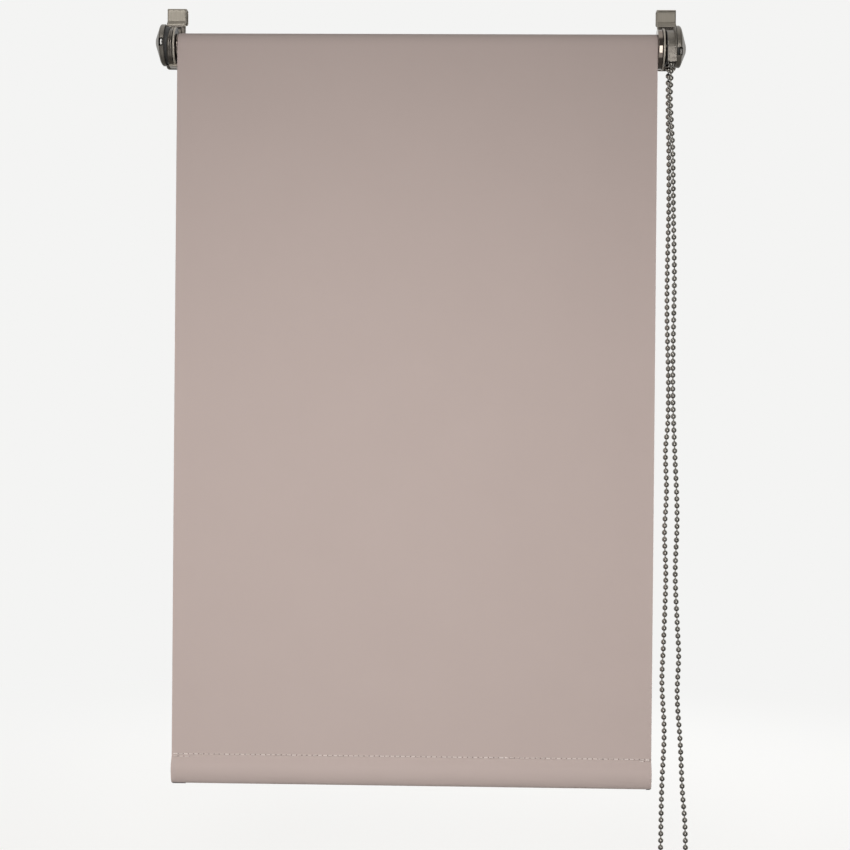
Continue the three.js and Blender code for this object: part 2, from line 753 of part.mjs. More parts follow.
// The wrap spring: one wire round the drum, with a tang at each end standing out in the sleeve's slot.
function clutchSpring() {
  const mean = springBore + clutchWire / 2;
  const start = collarOuter - sleeveReach + clutchWire * 2;
  const sweep = 2 * Math.PI * clutchTurns - 2 * tangAngle;
  const steps = clutchTurns * clutchStepsPerTurn;
  const place = (angle, radius, x) => (
    new THREE.Vector3(x, radius * Math.cos(angle), radius * Math.sin(angle))
  );
  const coil = [];
  for (let i = 0; i <= steps; i += 1) {
    const angle = Math.PI / 2 + tangAngle + sweep * i / steps;
    coil.push(place(angle, mean, start + clutchPitch * clutchTurns * i / steps));
  }
  console.log(`clutch spring, least gap to itself: ${leastGap(coil, clutchWire, clutchStepsPerTurn).toFixed(2)} mm`);
  const firstTang = place(Math.PI / 2 + tangAngle, mean + clutchTang, start);
  const lastTang = place(Math.PI / 2 - tangAngle, mean + clutchTang, coil.at(-1).x);
  const points = [firstTang, ...coil, lastTang];
  return lofted(points, points.map(() => clutchWire / 2), axisX, wireSides);
}

function drivePlug() {
  const hubLeft = fabricRight + fit;
  const hubRight = collarOuter - fit;
  const blank = turned([
    [plugLeft, postRadius + fit],
    [plugLeft, plugRadius],
    [hubLeft, plugRadius],
    [hubLeft, hubFlangeRadius],
    [hubRight, hubFlangeRadius],
    [hubRight, plugBore],
    [chamberLeft, plugBore],
    [chamberLeft, postRadius + fit],
    [plugLeft, postRadius + fit],
  ]);
  const rib = box(
    chamberLeft - fit, hubRight - collarWidth,
    -ribWidth / 2, ribWidth / 2, plugBore - ribDepth, plugBore + fit,
  );
  return carved([blank, rib]);
}

function driveCollar() {
  const edge = collarWidth / 5;
  const bore = hubFlangeRadius + fit;
  return turned([
    [collarInner, bore],
    [collarInner, collarRadius - edge],
    [collarInner + edge, collarRadius],
    [collarOuter - edge, collarRadius],
    [collarOuter, collarRadius - edge],
    [collarOuter, bore],
    [collarInner, bore],
  ]);
}

function idlePlug() {
  const right = fabricLeft + idlePlugReach;
  const flangeRight = fabricLeft - fit;
  const cavityLeft = fabricLeft + idleShoulderLength;
  return turned([
    [right, 0],
    [right, plugRadius],
    [flangeRight, plugRadius],
    [flangeRight, idleFlangeRadius],
    [flangeRight - idleFlangeThickness, idleFlangeRadius],
    [flangeRight - idleFlangeThickness, idlePinRadius + fit],
    [cavityLeft, idlePinRadius + fit],
    [cavityLeft, idleShoulderRadius + fit],
    [right - idleCavityWall, idleShoulderRadius + fit],
    [right - idleCavityWall, 0],
  ], smallSteps);
}

function idlePinPlaces() {
  const shoulderLeft = fabricLeft + idleShoulderLength + fit;
  const shoulderRight = shoulderLeft + idleShoulderLength;
  return { shoulderLeft, shoulderRight, springEnd: fabricLeft + idlePlugReach - idleCavityWall };
}

function idlePin() {
  const { shoulderLeft, shoulderRight } = idlePinPlaces();
  const tip = fabricLeft - idlePinReach;
  return turned([
    [tip, 0],
    [tip, idlePinRadius / 2],
    [tip + idlePinRadius / 2, idlePinRadius],
    [shoulderLeft, idlePinRadius],
    [shoulderLeft, idleShoulderRadius],
    [shoulderRight, idleShoulderRadius],
    [shoulderRight, idleStemRadius],
    [shoulderRight + idleStemLength, idleStemRadius],
    [shoulderRight + idleStemLength, 0],
  ], smallSteps);
}

function idleSpring() {
  const { shoulderRight, springEnd } = idlePinPlaces();
  const mean = idleStemRadius + fit + idleWire / 2;
  const start = shoulderRight + fit + idleWire / 2;
  const length = springEnd - fit - idleWire / 2 - start;
  const steps = idleTurns * idleStepsPerTurn;
  const coil = [];
  for (let i = 0; i <= steps; i += 1) {
    const angle = 2 * Math.PI * i / idleStepsPerTurn;
    coil.push(new THREE.Vector3(start + length * i / steps, mean * Math.cos(angle), mean * Math.sin(angle)));
  }
  console.log(`idle spring, least gap to itself: ${leastGap(coil, idleWire, idleStepsPerTurn).toFixed(2)} mm`);
  return lofted(coil, coil.map(() => idleWire / 2), axisX, wireSides);
}

function rollerTube() {
  return ring(tubeBore, tubeRadius, fabricLeft, fabricRight);
}

// The roll: its outer turn winds in by one thickness and ends where the sheet leaves it.
function fabricRoll() {
  const steps = turnSteps * 2;
  const windIn = fabricThickness + fit / 2;
  const outline = [];
  for (let i = 0; i <= steps; i += 1) {
    const angle = Math.PI - 2 * Math.PI * i / steps;
    const radius = rollRadius - windIn * i / steps;
    outline.push(new THREE.Vector2(radius * Math.cos(angle), radius * Math.sin(angle)));
  }
  const shape = new THREE.Shape(outline);
  const bore = new THREE.Path();
  bore.absarc(0, 0, tubeRadius + fit, 0, 2 * Math.PI, false);
  shape.holes.push(bore);
  return slab(shape, fabricLeft, fabricRight, arcSteps);
}

function fabricSheet() {
  return box(
    fabricLeft, fabricRight,
    sheetY - fabricThickness / 2, sheetY + fabricThickness / 2, hemTop + fit, -fit,
  );
}

// A loop of fabric seen from its end: an oval below, drawn in to a seam of given width above.
function teardrop(centreZ, halfThickness, halfHeight, seamZ, seamHalf) {
  const rise = seamZ - centreZ;
  const angle = Math.asin(halfHeight / rise);
  const shape = new THREE.Shape();
  shape.moveTo(sheetY + seamHalf, seamZ);
  shape.lineTo(sheetY - seamHalf, seamZ);
  shape.absellipse(sheetY, centreZ, halfThickness, halfHeight, Math.PI - angle, 2 * Math.PI + angle, false);
  return shape;
}

function barCentre() {
  return -hemBottomDrop + fabricThickness + fit + barHeight / 2;
}

function hemPocket() {
  const innerHeight = barHeight / 2 + fit;
  const innerThickness = barThickness / 2 + fit;
  const outline = teardrop(
    barCentre(), innerThickness + fabricThickness, innerHeight + fabricThickness, hemTop, fabricThickness,
  );
  const seam = hemTop - fabricThickness * 4;
  const hollow = teardrop(barCentre(), innerThickness, innerHeight, seam, fabricThickness / 4);
  outline.holes.push(new THREE.Path(hollow.getPoints(arcSteps)));
  return slab(outline, fabricLeft, fabricRight);
}

function oval(halfThickness, halfHeight) {
  const shape = new THREE.Shape();
  shape.absellipse(sheetY, barCentre(), halfThickness, halfHeight, 0, 2 * Math.PI, false);
  return shape;
}

function bottomBar() {
  const shape = oval(barThickness / 2, barHeight / 2);
  shape.holes.push(oval(barThickness / 2 - barWall, barHeight / 2 - barWall));
  return slab(shape, fabricLeft + barInset, fabricRight - barInset);
}

function barPlug(side) {
  const end = side < 0 ? fabricLeft + barInset : fabricRight - barInset;
  const face = end + side * fit;
  const outside = face + side * barPlugFlange;
  const inside = end - side * barPlugDepth;
  const wall = barWall + fit;
  const flange = slab(
    oval(barThickness / 2, barHeight / 2), Math.min(face, outside), Math.max(face, outside),
  );
  const stub = slab(
    oval(barThickness / 2 - wall, barHeight / 2 - wall),
    Math.min(inside, face + side * fit), Math.max(inside, face + side * fit),
  );
  return carved([flange, stub]);
}

// Ball chain through given ball centres, each link a thin waist. A ball has one ring of corners at
// its middle, or two where a flat of its own is given.
function ballChain(centres, start, end, reference, flat) {
  const points = [start];
  const radii = [linkRadius];
  centres.forEach((centre, i) => {
    const before = i > 0 ? centres[i - 1] : start;
    const after = i < centres.length - 1 ? centres[i + 1] : end;
    const along = after.clone().sub(before).normalize();
    for (const offset of flat > 0 ? [-flat, flat] : [0]) {
      points.push(centre.clone().addScaledVector(along, offset));
      radii.push(ballRadius);
    }
    if (i < centres.length - 1) {
      points.push(centre.clone().lerp(after, 1 / 2));
      radii.push(linkRadius);
    }
  });
  points.push(end);
  radii.push(linkRadius);
  return lofted(points, radii, reference, ballSides);
}

// The chain over the wheel: a ball in each upper pocket, and the balls that hang beside the wheel.
function chainWrap() {
  const step = 2 * Math.PI / wheelPockets;
  const pockets = wheelPockets / 2;
  const over = [];
  for (let i = 0; i < pockets; i += 1) {
    const angle = Math.PI - step * (i + 0.5);
    over.push(new THREE.Vector3(wheelX, wheelPitchRadius * Math.cos(angle), wheelPitchRadius * Math.sin(angle)));
  }
  const hang = (side, drop) => new THREE.Vector3(wheelX, side * chainY, drop);
  const drops = [-ballPitch / 2, -ballPitch * 3 / 2];
  const front = drops.map((drop) => hang(-1, drop)).reverse();
  const rear = drops.map((drop) => hang(1, drop));
  const foot = -wrapDrop + fit / 2;
  return ballChain([...front, ...over, ...rear], hang(-1, foot), hang(1, foot), axisX, ballFlat);
}

function chainStrand(word, route, side) {
  const start = new THREE.Vector3(wheelX, side * chainY, -wrapDrop - fit / 2);
  const below = new THREE.Vector3(wheelX, side * chainY, -wrapDrop - ballPitch);
  const points = [start, below, ...route.map(([x, y, z]) => new THREE.Vector3(wheelX + x, y, z))];
  const curve = new THREE.CatmullRomCurve3(points, false, 'centripetal');
  curve.arcLengthDivisions = 1200;
  const length = curve.getLength();
  const centres = [];
  for (let at = (ballPitch - fit) / 2; at < length - ballRadius; at += ballPitch) {
    centres.push(curve.getPointAt(at / length));
  }
  console.log(`${word} chain strand: ${length.toFixed(1)} mm, ${centres.length} balls`);
  return ballChain(centres, start, points.at(-1), axisY, 0);
}

function chainConnector() {
  const half = connectorLength / 2;
  const shoulder = connectorRadius / 3;
  return turned([
    [-half, 0],
    [-half, connectorRadius - shoulder],
    [shoulder - half, connectorRadius],
    [half - shoulder, connectorRadius],
    [half, connectorRadius - shoulder],
    [half, 0],
  ], smallSteps).translate(connectorX, 0, connectorZ);
}

const blind = new THREE.Group();
const rollAxis = new THREE.Group();
rollAxis.position.set(0, -axisForward, -axisDrop);
blind.add(rollAxis);

function add(parent, name, geometry, material) {
  const tidy = closed(geometry);
  tidy.computeVertexNormals();
  const piece = new THREE.Mesh(tidy, material);
  piece.name = name;
  parent.add(piece);
}

add(blind, 'hanger_left', hanger(-1), steel);
add(blind, 'hanger_right', hanger(1), steel);
add(rollAxis, 'bracket_left', bracketLeft(), bracketShell);
add(rollAxis, 'bracket_right', bracketRight(), bracketShell);
for (const [side, word] of [[-1, 'left'], [1, 'right']]) {
  add(rollAxis, `bracket_screw_${word}_upper`, bracketScrew(side, screwHeights[0]), springSteel);
  add(rollAxis, `bracket_screw_${word}_lower`, bracketScrew(side, screwHeights[1]), springSteel);
}
add(rollAxis, 'end_cap_left', endCap(-1, leftCapRim, leftPortDrop), shell);
add(rollAxis, 'end_cap_right', endCap(1, rightCapRim, rightPortDrop), shell);
add(rollAxis, 'chain_guard', chainGuard(), shell);
add(rollAxis, 'clutch_post', clutchPost(), darkPlastic);
add(rollAxis, 'post_screw', postScrew(), springSteel);
add(rollAxis, 'post_clip', postClip(), springSteel);
add(rollAxis, 'chain_wheel', chainWheel(), darkPlastic);
add(rollAxis, 'clutch_spring', clutchSpring(), springSteel);
add(rollAxis, 'drive_plug', drivePlug(), darkPlastic);
add(rollAxis, 'drive_collar', driveCollar(), chrome);
add(rollAxis, 'roller_tube', rollerTube(), aluminium);
add(rollAxis, 'fabric_roll', fabricRoll(), cloth);
add(rollAxis, 'idle_plug', idlePlug(), plastic);
add(rollAxis, 'idle_pin', idlePin(), springSteel);
add(rollAxis, 'idle_spring', idleSpring(), springSteel);
add(rollAxis, 'fabric_sheet', fabricSheet(), cloth);
add(rollAxis, 'hem_pocket', hemPocket(), cloth);
add(rollAxis, 'bottom_bar', bottomBar(), aluminium);
add(rollAxis, 'bar_plug_left', barPlug(-1), darkPlastic);
add(rollAxis, 'bar_plug_right', barPlug(1), darkPlastic);
add(rollAxis, 'chain_wrap', chainWrap(), nickel);
add(rollAxis, 'chain_front', chainStrand('front', frontRoute, -1), nickel);
add(rollAxis, 'chain_rear', chainStrand('rear', rearRoute, 1), nickel);
add(rollAxis, 'chain_connector', chainConnector(), plastic);

export default blind;
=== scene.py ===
# Dresses the clip-on roller blind for its picture: pressed hooks, moulded ends, a wound roll, a hanging
# cloth with a sewn hem, and a ball chain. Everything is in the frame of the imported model, in metres.
# Sizes in the dictionaries are millimetres, measured from the roll's axis, unless a note says otherwise.
# The camera and the studio are in metres from the frame's origin.
import math

import bmesh
import bpy
from mathutils import Matrix, Vector, noise


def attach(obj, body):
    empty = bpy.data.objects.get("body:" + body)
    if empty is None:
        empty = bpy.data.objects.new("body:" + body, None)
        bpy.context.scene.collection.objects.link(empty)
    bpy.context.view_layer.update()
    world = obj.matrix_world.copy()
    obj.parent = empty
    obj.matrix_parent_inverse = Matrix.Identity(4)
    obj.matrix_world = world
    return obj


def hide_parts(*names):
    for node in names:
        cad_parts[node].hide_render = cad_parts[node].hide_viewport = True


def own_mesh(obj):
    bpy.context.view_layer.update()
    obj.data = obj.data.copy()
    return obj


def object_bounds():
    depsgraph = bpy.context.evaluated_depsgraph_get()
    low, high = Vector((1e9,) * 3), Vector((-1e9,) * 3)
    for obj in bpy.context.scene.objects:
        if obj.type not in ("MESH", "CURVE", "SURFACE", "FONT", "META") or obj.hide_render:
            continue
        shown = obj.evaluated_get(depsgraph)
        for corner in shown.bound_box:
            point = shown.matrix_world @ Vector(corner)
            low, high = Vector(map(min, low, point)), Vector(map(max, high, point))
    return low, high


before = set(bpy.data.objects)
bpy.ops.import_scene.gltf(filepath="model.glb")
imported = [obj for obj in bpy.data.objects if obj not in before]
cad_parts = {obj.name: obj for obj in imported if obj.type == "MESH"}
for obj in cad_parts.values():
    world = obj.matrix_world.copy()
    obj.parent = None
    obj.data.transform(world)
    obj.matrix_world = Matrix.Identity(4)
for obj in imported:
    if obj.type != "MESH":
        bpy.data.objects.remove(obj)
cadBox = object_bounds()
millimetre = 0.001
rollAxis = Vector((0, -24.5, -39.4))  # from the line that the hooks bear on
ends = {"hookX": 218.3, "clothLeft": -211.4, "clothRight": 207.1, "capRise": 2.4}
scene = bpy.context.scene


# Nodes, colours and materials

def linearColour(text):
    parts = [int(text[i:i + 2], 16) / 255 for i in (1, 3, 5)]
    return [p / 12.92 if p <= 0.04045 else ((p + 0.055) / 1.055) ** 2.4 for p in parts] + [1]


def addNode(tree, kind, inputs=None, links=None, **settings):
    node = tree.nodes.new(kind)
    for name, value in settings.items():
        setattr(node, name, value)
    for name, value in (inputs or {}).items():
        node.inputs[name].default_value = value
    for name, source in (links or {}).items():
        tree.links.new(source, node.inputs[name])
    return node


# Two values joined by an operation, each of them a number or a socket.
def reckon(tree, operation, first, second):
    node = addNode(tree, "ShaderNodeMath", operation=operation)
    for i, value in enumerate((first, second)):
        if isinstance(value, bpy.types.NodeSocket):
            tree.links.new(value, node.inputs[i])
        else:
            node.inputs[i].default_value = value
    return node.outputs["Value"]


# A shader with a colour that wanders between two tones, and a surface with fine grain. A finish may have a
# rim lighter beyond a given radius from the roll's axis, partly rubbed metal and partly a painted highlight.
def newFinish(name, finish):
    material = bpy.data.materials.new(name)
    material.use_nodes = True
    tree = material.node_tree
    shader = tree.nodes["Principled BSDF"]
    shader.inputs["Metallic"].default_value = finish.get("metallic", 0)
    shader.inputs["Roughness"].default_value = finish["roughness"]
    if "ior" in finish:
        shader.inputs["IOR"].default_value = finish["ior"]
    if "coat" in finish:
        shader.inputs["Coat Weight"].default_value = finish["coat"]
        shader.inputs["Coat Roughness"].default_value = finish["coatRoughness"]
    place = addNode(tree, "ShaderNodeTexCoord").outputs["Object"]
    stretch = addNode(
        tree, "ShaderNodeMapping", {"Scale": finish.get("stretchShares", (1, 1, 1))}, {"Vector": place},
    ).outputs["Vector"]
    patches = addNode(
        tree, "ShaderNodeTexNoise",
        {"Scale": 1 / (finish["patchSize"] * millimetre), "Detail": 3, "Roughness": 0.55},
        {"Vector": stretch},
    ).outputs["Fac"]
    tones = addNode(tree, "ShaderNodeMapRange", {"From Min": 0.36, "From Max": 0.64}, {"Value": patches})
    colour = addNode(
        tree, "ShaderNodeMix", {6: linearColour(finish["dark"]), 7: linearColour(finish["light"])},
        {0: tones.outputs["Result"]}, data_type="RGBA",
    )
    shown = colour.outputs[2]
    # Rim: a lighter colour beyond a radius, partly rubbed metal and partly a painted highlight on the edge.
    if "rim" in finish:
        level = addNode(
            tree, "ShaderNodeVectorMath", {1: rollAxis * millimetre}, {0: place}, operation="SUBTRACT",
        )
        spot = addNode(tree, "ShaderNodeSeparateXYZ", {}, {0: level.outputs["Vector"]}).outputs
        flat = addNode(tree, "ShaderNodeCombineXYZ", {}, {"Y": spot["Y"], "Z": spot["Z"]}).outputs["Vector"]
        reach = addNode(tree, "ShaderNodeVectorMath", {}, {0: flat}, operation="LENGTH").outputs["Value"]
        low, high = finish["rimFrom"] * millimetre, finish["rimFull"] * millimetre
        rimHighlight = addNode(tree, "ShaderNodeMapRange", {"From Min": low, "From Max": high}, {"Value": reach})
        shown = addNode(
            tree, "ShaderNodeMix", {7: linearColour(finish["rim"])},
            {0: rimHighlight.outputs["Result"], 6: shown}, data_type="RGBA",
        ).outputs[2]
    tree.links.new(shown, shader.inputs["Base Color"])
    grain = addNode(
        tree, "ShaderNodeTexNoise",
        {"Scale": 1 / (finish["grainSize"] * millimetre), "Detail": 2, "Roughness": 0.6}, {"Vector": stretch},
    ).outputs["Fac"]
    spread = finish.get("roughnessSpread", 0.05)
    rough = addNode(
        tree, "ShaderNodeMapRange",
        {"From Min": 0.3, "From Max": 0.7, "To Min": finish["roughness"] - spread,
         "To Max": finish["roughness"] + spread}, {"Value": grain},
    )
    tree.links.new(rough.outputs["Result"], shader.inputs["Roughness"])
    bump = addNode(
        tree, "ShaderNodeBump",
        {"Strength": finish["bumpShare"], "Distance": finish["grainSize"] * millimetre / 8},
        {"Height": grain},
    )
    tree.links.new(bump.outputs["Normal"], shader.inputs["Normal"])
    return material


# Pressed steel strip, nickel plated with a taupe tint and drawn along its length: a satin sheen with
# fine lines that run down it.
stripSteel = newFinish("drawn taupe nickel plate", {
    "metallic": 1, "dark": "#989186", "light": "#a0998d", "roughness": 0.34, "roughnessSpread": 0.04,
    "patchSize": 1.4, "grainSize": 0.5, "stretchShares": (1, 0.06, 0.06), "bumpShare": 0.15,
})
# The side plates are blanked from dark lacquered strip, and their turned rims are rubbed bright.
# The rim's lighter colour is also a painted highlight, along the plate's edge and on the lip's toe.
plateSteel = newFinish("blanked plate with a rubbed rim", {
    "metallic": 0.45, "dark": "#37342f", "light": "#423e38", "rim": "#b0a89b", "rimFrom": 17.3,
    "rimFull": 17.7, "roughness": 0.36, "patchSize": 3, "grainSize": 0.6, "bumpShare": 0.2,
})
# ABS moulding under a metallic lacquer: half gloss with a fine sparkle, darker on the brackets.
bracketLacquer = newFinish("lacquered ABS bracket", {
    "metallic": 0.8, "dark": "#69625b", "light": "#756e65", "roughness": 0.27, "roughnessSpread": 0.05,
    "patchSize": 1.8, "grainSize": 0.4, "bumpShare": 0.12, "coat": 0.3, "coatRoughness": 0.15,
})
capLook = {
    "metallic": 0.7, "dark": "#7b756c", "light": "#878178", "roughness": 0.4, "roughnessSpread": 0.06,
    "patchSize": 1.8, "grainSize": 0.35, "bumpShare": 0.25, "coat": 0.2, "coatRoughness": 0.3,
}
capLacquer = newFinish("lacquered ABS cap", capLook)
# The guard's apron is a lighter copy of the cap lacquer: painted light on its front face.
apronLitLacquer = newFinish("lacquered ABS apron, rubbed", {**capLook, "dark": "#938c83", "light": "#a39c92"})
# Polished plating over a moulded collar: a dark mirror.
darkPlating = newFinish("polished dark chrome plate", {
    "metallic": 1, "dark": "#857a72", "light": "#92877e", "roughness": 0.07, "roughnessSpread": 0.02,
    "patchSize": 6, "grainSize": 2, "bumpShare": 0.04,
})
latchSteel = newFinish("bright spring latch", {
    "metallic": 1, "dark": "#c9c7c2", "light": "#dedcd8", "roughness": 0.22, "roughnessSpread": 0.04,
    "patchSize": 2, "grainSize": 0.5, "bumpShare": 0.1,
})
# The right latch is a darker, rougher copy of the same steel: painted shade.
shadedLatchSteel = newFinish("dull spring latch", {
    "metallic": 1, "dark": "#85827d", "light": "#9b9893", "roughness": 0.45, "roughnessSpread": 0.04,
    "patchSize": 2, "grainSize": 0.5, "bumpShare": 0.1,
})
darkMoulding = newFinish("moulded nylon, charcoal", {
    "dark": "#2c2b2a", "light": "#393836", "roughness": 0.5, "ior": 1.53,
    "patchSize": 3, "grainSize": 0.4, "bumpShare": 0.3,
})
paleMoulding = newFinish("moulded acetal, natural white", {
    "dark": "#d2d0ca", "light": "#dfddd8", "roughness": 0.42, "ior": 1.48,
    "patchSize": 5, "grainSize": 0.5, "bumpShare": 0.2,
})
zincSteel = newFinish("bright zinc on steel", {
    "metallic": 1, "dark": "#8d9092", "light": "#a8aaab", "roughness": 0.28,
    "patchSize": 1.8, "grainSize": 0.4, "bumpShare": 0.25,
})
drawnAluminium = newFinish("extruded bare aluminium", {
    "metallic": 1, "dark": "#a9abad", "light": "#bcbec0", "roughness": 0.36, "roughnessSpread": 0.06,
    "patchSize": 2.5, "grainSize": 0.5, "stretchShares": (0.05, 1, 1), "bumpShare": 0.3,
})
# Rolled steel balls, nickel plated and tumbled bright, slightly tarnished.
beadNickel = newFinish("tumbled nickel plate", {
    "metallic": 1, "dark": "#99958e", "light": "#b5b1aa", "roughness": 0.16, "roughnessSpread": 0.04,
    "patchSize": 4, "grainSize": 0.8, "bumpShare": 0.1,
})
sewingThread = newFinish("twisted polyester thread", {
    "dark": "#cfc3bd", "light": "#ddd2cc", "roughness": 0.7, "ior": 1.5,
    "patchSize": 0.8, "grainSize": 0.2, "bumpShare": 0.5,
})
# Where the needle went through, the cloth is drawn in and lies in its own shade.
needleShade = newFinish("pricked cloth, in shade", {
    "dark": "#6d6059", "light": "#7a6c65", "roughness": 0.9, "ior": 1.45,
    "patchSize": 1.5, "grainSize": 0.3, "bumpShare": 0.4,
})


# Polyester woven plain and coated behind to keep light out: matt and very even, with a fine square weave
# and a few thick threads across it. Its own UV map carries the weave, in metres across and along. Real
# threads are about 0.35 mm apart, too fine for the picture, so the weave is drawn at 0.8 mm.
def coatedCloth():
    cloth = {
        "warm": "#b9a9a3", "cool": "#b6a6a0", "roughness": 0.88, "threadPitch": 0.8, "threadShare": 0.03,
        "weaveDepth": 0.04, "patchSize": 60, "slubSize": 7, "slubHeight": 1.1, "slubShare": 0.03,
        "sheen": 0.1,
    }
    material = bpy.data.materials.new("coated polyester blackout cloth")
    material.use_nodes = True
    tree = material.node_tree
    shader = tree.nodes["Principled BSDF"]
    shader.inputs["Roughness"].default_value = cloth["roughness"]
    shader.inputs["Specular IOR Level"].default_value = 0.25
    shader.inputs["Sheen Weight"].default_value = cloth["sheen"]
    shader.inputs["Sheen Roughness"].default_value = 0.5
    where = addNode(tree, "ShaderNodeUVMap", uv_map="cloth").outputs["UV"]
    waves = []
    for direction in ("X", "Y"):
        # A wave texture of scale 1 repeats 20 / 2 pi times in each metre
        waves.append(addNode(
            tree, "ShaderNodeTexWave",
            {"Scale": 2 * math.pi / 20 / (cloth["threadPitch"] * millimetre), "Distortion": 0.2, "Detail": 1},
            {"Vector": where}, bands_direction=direction,
        ).outputs["Fac"])
    weave = reckon(tree, "MULTIPLY", *waves)
    long = 1 / (cloth["slubSize"] * millimetre)
    thin = 1 / (cloth["slubHeight"] * millimetre)
    across = addNode(
        tree, "ShaderNodeMapping", {"Scale": (long, thin, 1)}, {"Vector": where},
    ).outputs["Vector"]
    slubs = addNode(tree, "ShaderNodeTexNoise", {"Scale": 1, "Detail": 1}, {"Vector": across}).outputs["Fac"]
    patches = addNode(
        tree, "ShaderNodeTexNoise", {"Scale": 1 / (cloth["patchSize"] * millimetre), "Detail": 3},
        {"Vector": where},
    ).outputs["Fac"]
    ground = addNode(
        tree, "ShaderNodeMix", {6: linearColour(cloth["cool"]), 7: linearColour(cloth["warm"])},
        {0: patches}, data_type="RGBA",
    ).outputs[2]
    light = addNode(
        tree, "ShaderNodeMapRange",
        {"To Min": 1 - cloth["threadShare"], "To Max": 1 + cloth["threadShare"]}, {"Value": weave},
    ).outputs["Result"]
    # Only the highest crests of the noise show, as thick threads that are a shade lighter or darker
    slub = addNode(
        tree, "ShaderNodeMapRange",
        {"From Min": 0.66, "From Max": 0.8, "To Min": 1, "To Max": 1 - cloth["slubShare"]},
        {"Value": slubs},
    ).outputs["Result"]
    both = reckon(tree, "MULTIPLY", light, slub)
    colour = addNode(tree, "ShaderNodeVectorMath", {}, {0: ground, "Scale": both}, operation="SCALE")
    tree.links.new(colour.outputs["Vector"], shader.inputs["Base Color"])
    bump = addNode(
        tree, "ShaderNodeBump", {"Strength": 0.4, "Distance": cloth["weaveDepth"] * millimetre},
        {"Height": weave},
    )
    tree.links.new(bump.outputs["Normal"], shader.inputs["Normal"])
    return material


clothTaupe = coatedCloth()
print("materials ready")


# Shapes, in millimetres. A cutter reaches past what it cuts by the overrun, and edges are softened by
# the widths here.
overrun = 1
edges = {
    "strip": 0.16, "plate": 0.35, "foot": 0.3, "boss": 0.4, "spigot": 0.2, "latch": 0.2, "lip": 0.25,
    "body": 0.22, "cap": 0.16, "arch": 0.22, "disc": 0.25, "pad": 0.22, "peg": 0.2, "idleRing": 0.3,
    "bar": 0.15, "plug": 0.3,
}


def arc(centre, radius, start, end, steps):
    angles = [math.radians(start + (end - start) * i / steps) for i in range(steps + 1)]
    return [(centre[0] + radius * math.cos(a), centre[1] + radius * math.sin(a)) for a in angles]


def circle(centre, radius, corners):
    return arc(centre, radius, 0, 360 - 360 / corners, corners - 1)


def roundedBox(low, high, corner, steps=6):
    turns = ((high[0], low[1], -90), (high[0], high[1], 0), (low[0], high[1], 90), (low[0], low[1], 180))
    points = []
    for x, y, start in turns:
        centre = (x - corner if x == high[0] else x + corner, y - corner if y == high[1] else y + corner)
        points += arc(centre, corner, start, start + 90, steps)
    return points


def bend(start, control, end, steps):
    shares = [i / steps for i in range(1, steps + 1)]
    return [tuple(
        start[k] * (1 - t) ** 2 + control[k] * 2 * t * (1 - t) + end[k] * t * t for k in (0, 1)
    ) for t in shares]


# An outline given thickness along X ("x") or along Y ("y").
def addPrism(shape, outline, low, high, along="x"):
    sides = []
    for depth in (low, high):
        places = [(depth, a, b) if along == "x" else (a, depth, b) for a, b in outline]
        sides.append([shape.verts.new(p) for p in places])
    shape.faces.new(sides[0])
    shape.faces.new(sides[1][::-1])
    for i, corner in enumerate(sides[0]):
        j = (i + 1) % len(outline)
        shape.faces.new((corner, sides[1][i], sides[1][j], sides[0][j]))


# A profile of X places and radii turned about X. It ends on the axis at both ends, or closes on itself.
def addTurned(shape, profile, steps=72, rise=0):
    rings = []
    for x, radius in profile:
        if radius < 0.0001:
            rings.append([shape.verts.new((x, 0, rise))] * steps)
        else:
            rings.append([shape.verts.new((x, y, z)) for y, z in circle((0, rise), radius, steps)])
    if profile[0][1] > 0.0001:
        rings.append(rings[0])
    for here, there in zip(rings, rings[1:]):
        for k in range(steps):
            j = (k + 1) % steps
            corners = list(dict.fromkeys((here[k], here[j], there[j], there[k])))
            if len(corners) > 2:
                shape.faces.new(corners)


def ringProfile(inner, outer, low, high):
    return [(low, inner), (low, outer), (high, outer), (high, inner)]


def linkPart(name, shape):
    mesh = bpy.data.meshes.new(name)
    shape.to_mesh(mesh)
    shape.free()
    part = bpy.data.objects.new(name, mesh)
    scene.collection.objects.link(part)
    return part


# Puts the shape in its place in metres, as a mesh object.
def placePart(name, shape, origin=rollAxis):
    place = Matrix.Scale(millimetre, 4) @ Matrix.Translation(origin)
    bmesh.ops.transform(shape, matrix=place, verts=shape.verts)
    return linkPart(name, shape)


# The same, with faces that look outwards.
def makePart(name, shape, origin=rollAxis):
    bmesh.ops.remove_doubles(shape, verts=shape.verts, dist=0.0005)
    bmesh.ops.recalc_face_normals(shape, faces=shape.faces)
    return placePart(name, shape, origin)


def prism(name, outline, low, high, along="x", origin=rollAxis):
    shape = bmesh.new()
    addPrism(shape, outline, low, high, along)
    return makePart(name, shape, origin)


def turned(name, profile, steps, rise=0):
    shape = bmesh.new()
    addTurned(shape, profile, steps, rise)
    return makePart(name, shape)


# Turns what the modifiers make into the part's own mesh.
def settle(part):
    bpy.context.view_layer.update()
    graph = bpy.context.evaluated_depsgraph_get()
    made = bpy.data.meshes.new_from_object(
        part.evaluated_get(graph), preserve_all_data_layers=True, depsgraph=graph,
    )
    part.modifiers.clear()
    part.data = made
    return part


def softenEdges(part, width, steps=2, angle=38):
    bevel = part.modifiers.new("soft edges", "BEVEL")
    bevel.width = width * millimetre
    bevel.segments = steps
    bevel.limit_method = "ANGLE"
    bevel.angle_limit = math.radians(angle)
    bevel.use_clamp_overlap = True
    return settle(part)


def thicken(part, thickness):
    wall = part.modifiers.new("wall", "SOLIDIFY")
    wall.thickness = thickness * millimetre
    wall.offset = 0
    return settle(part)


def cutAway(part, *cutters):
    for cutter in cutters:
        cut = part.modifiers.new("cut", "BOOLEAN")
        cut.operation = "DIFFERENCE"
        cut.solver = "EXACT"
        cut.object = cutter
    settle(part)
    for cutter in cutters:
        bpy.data.objects.remove(cutter)
    return part


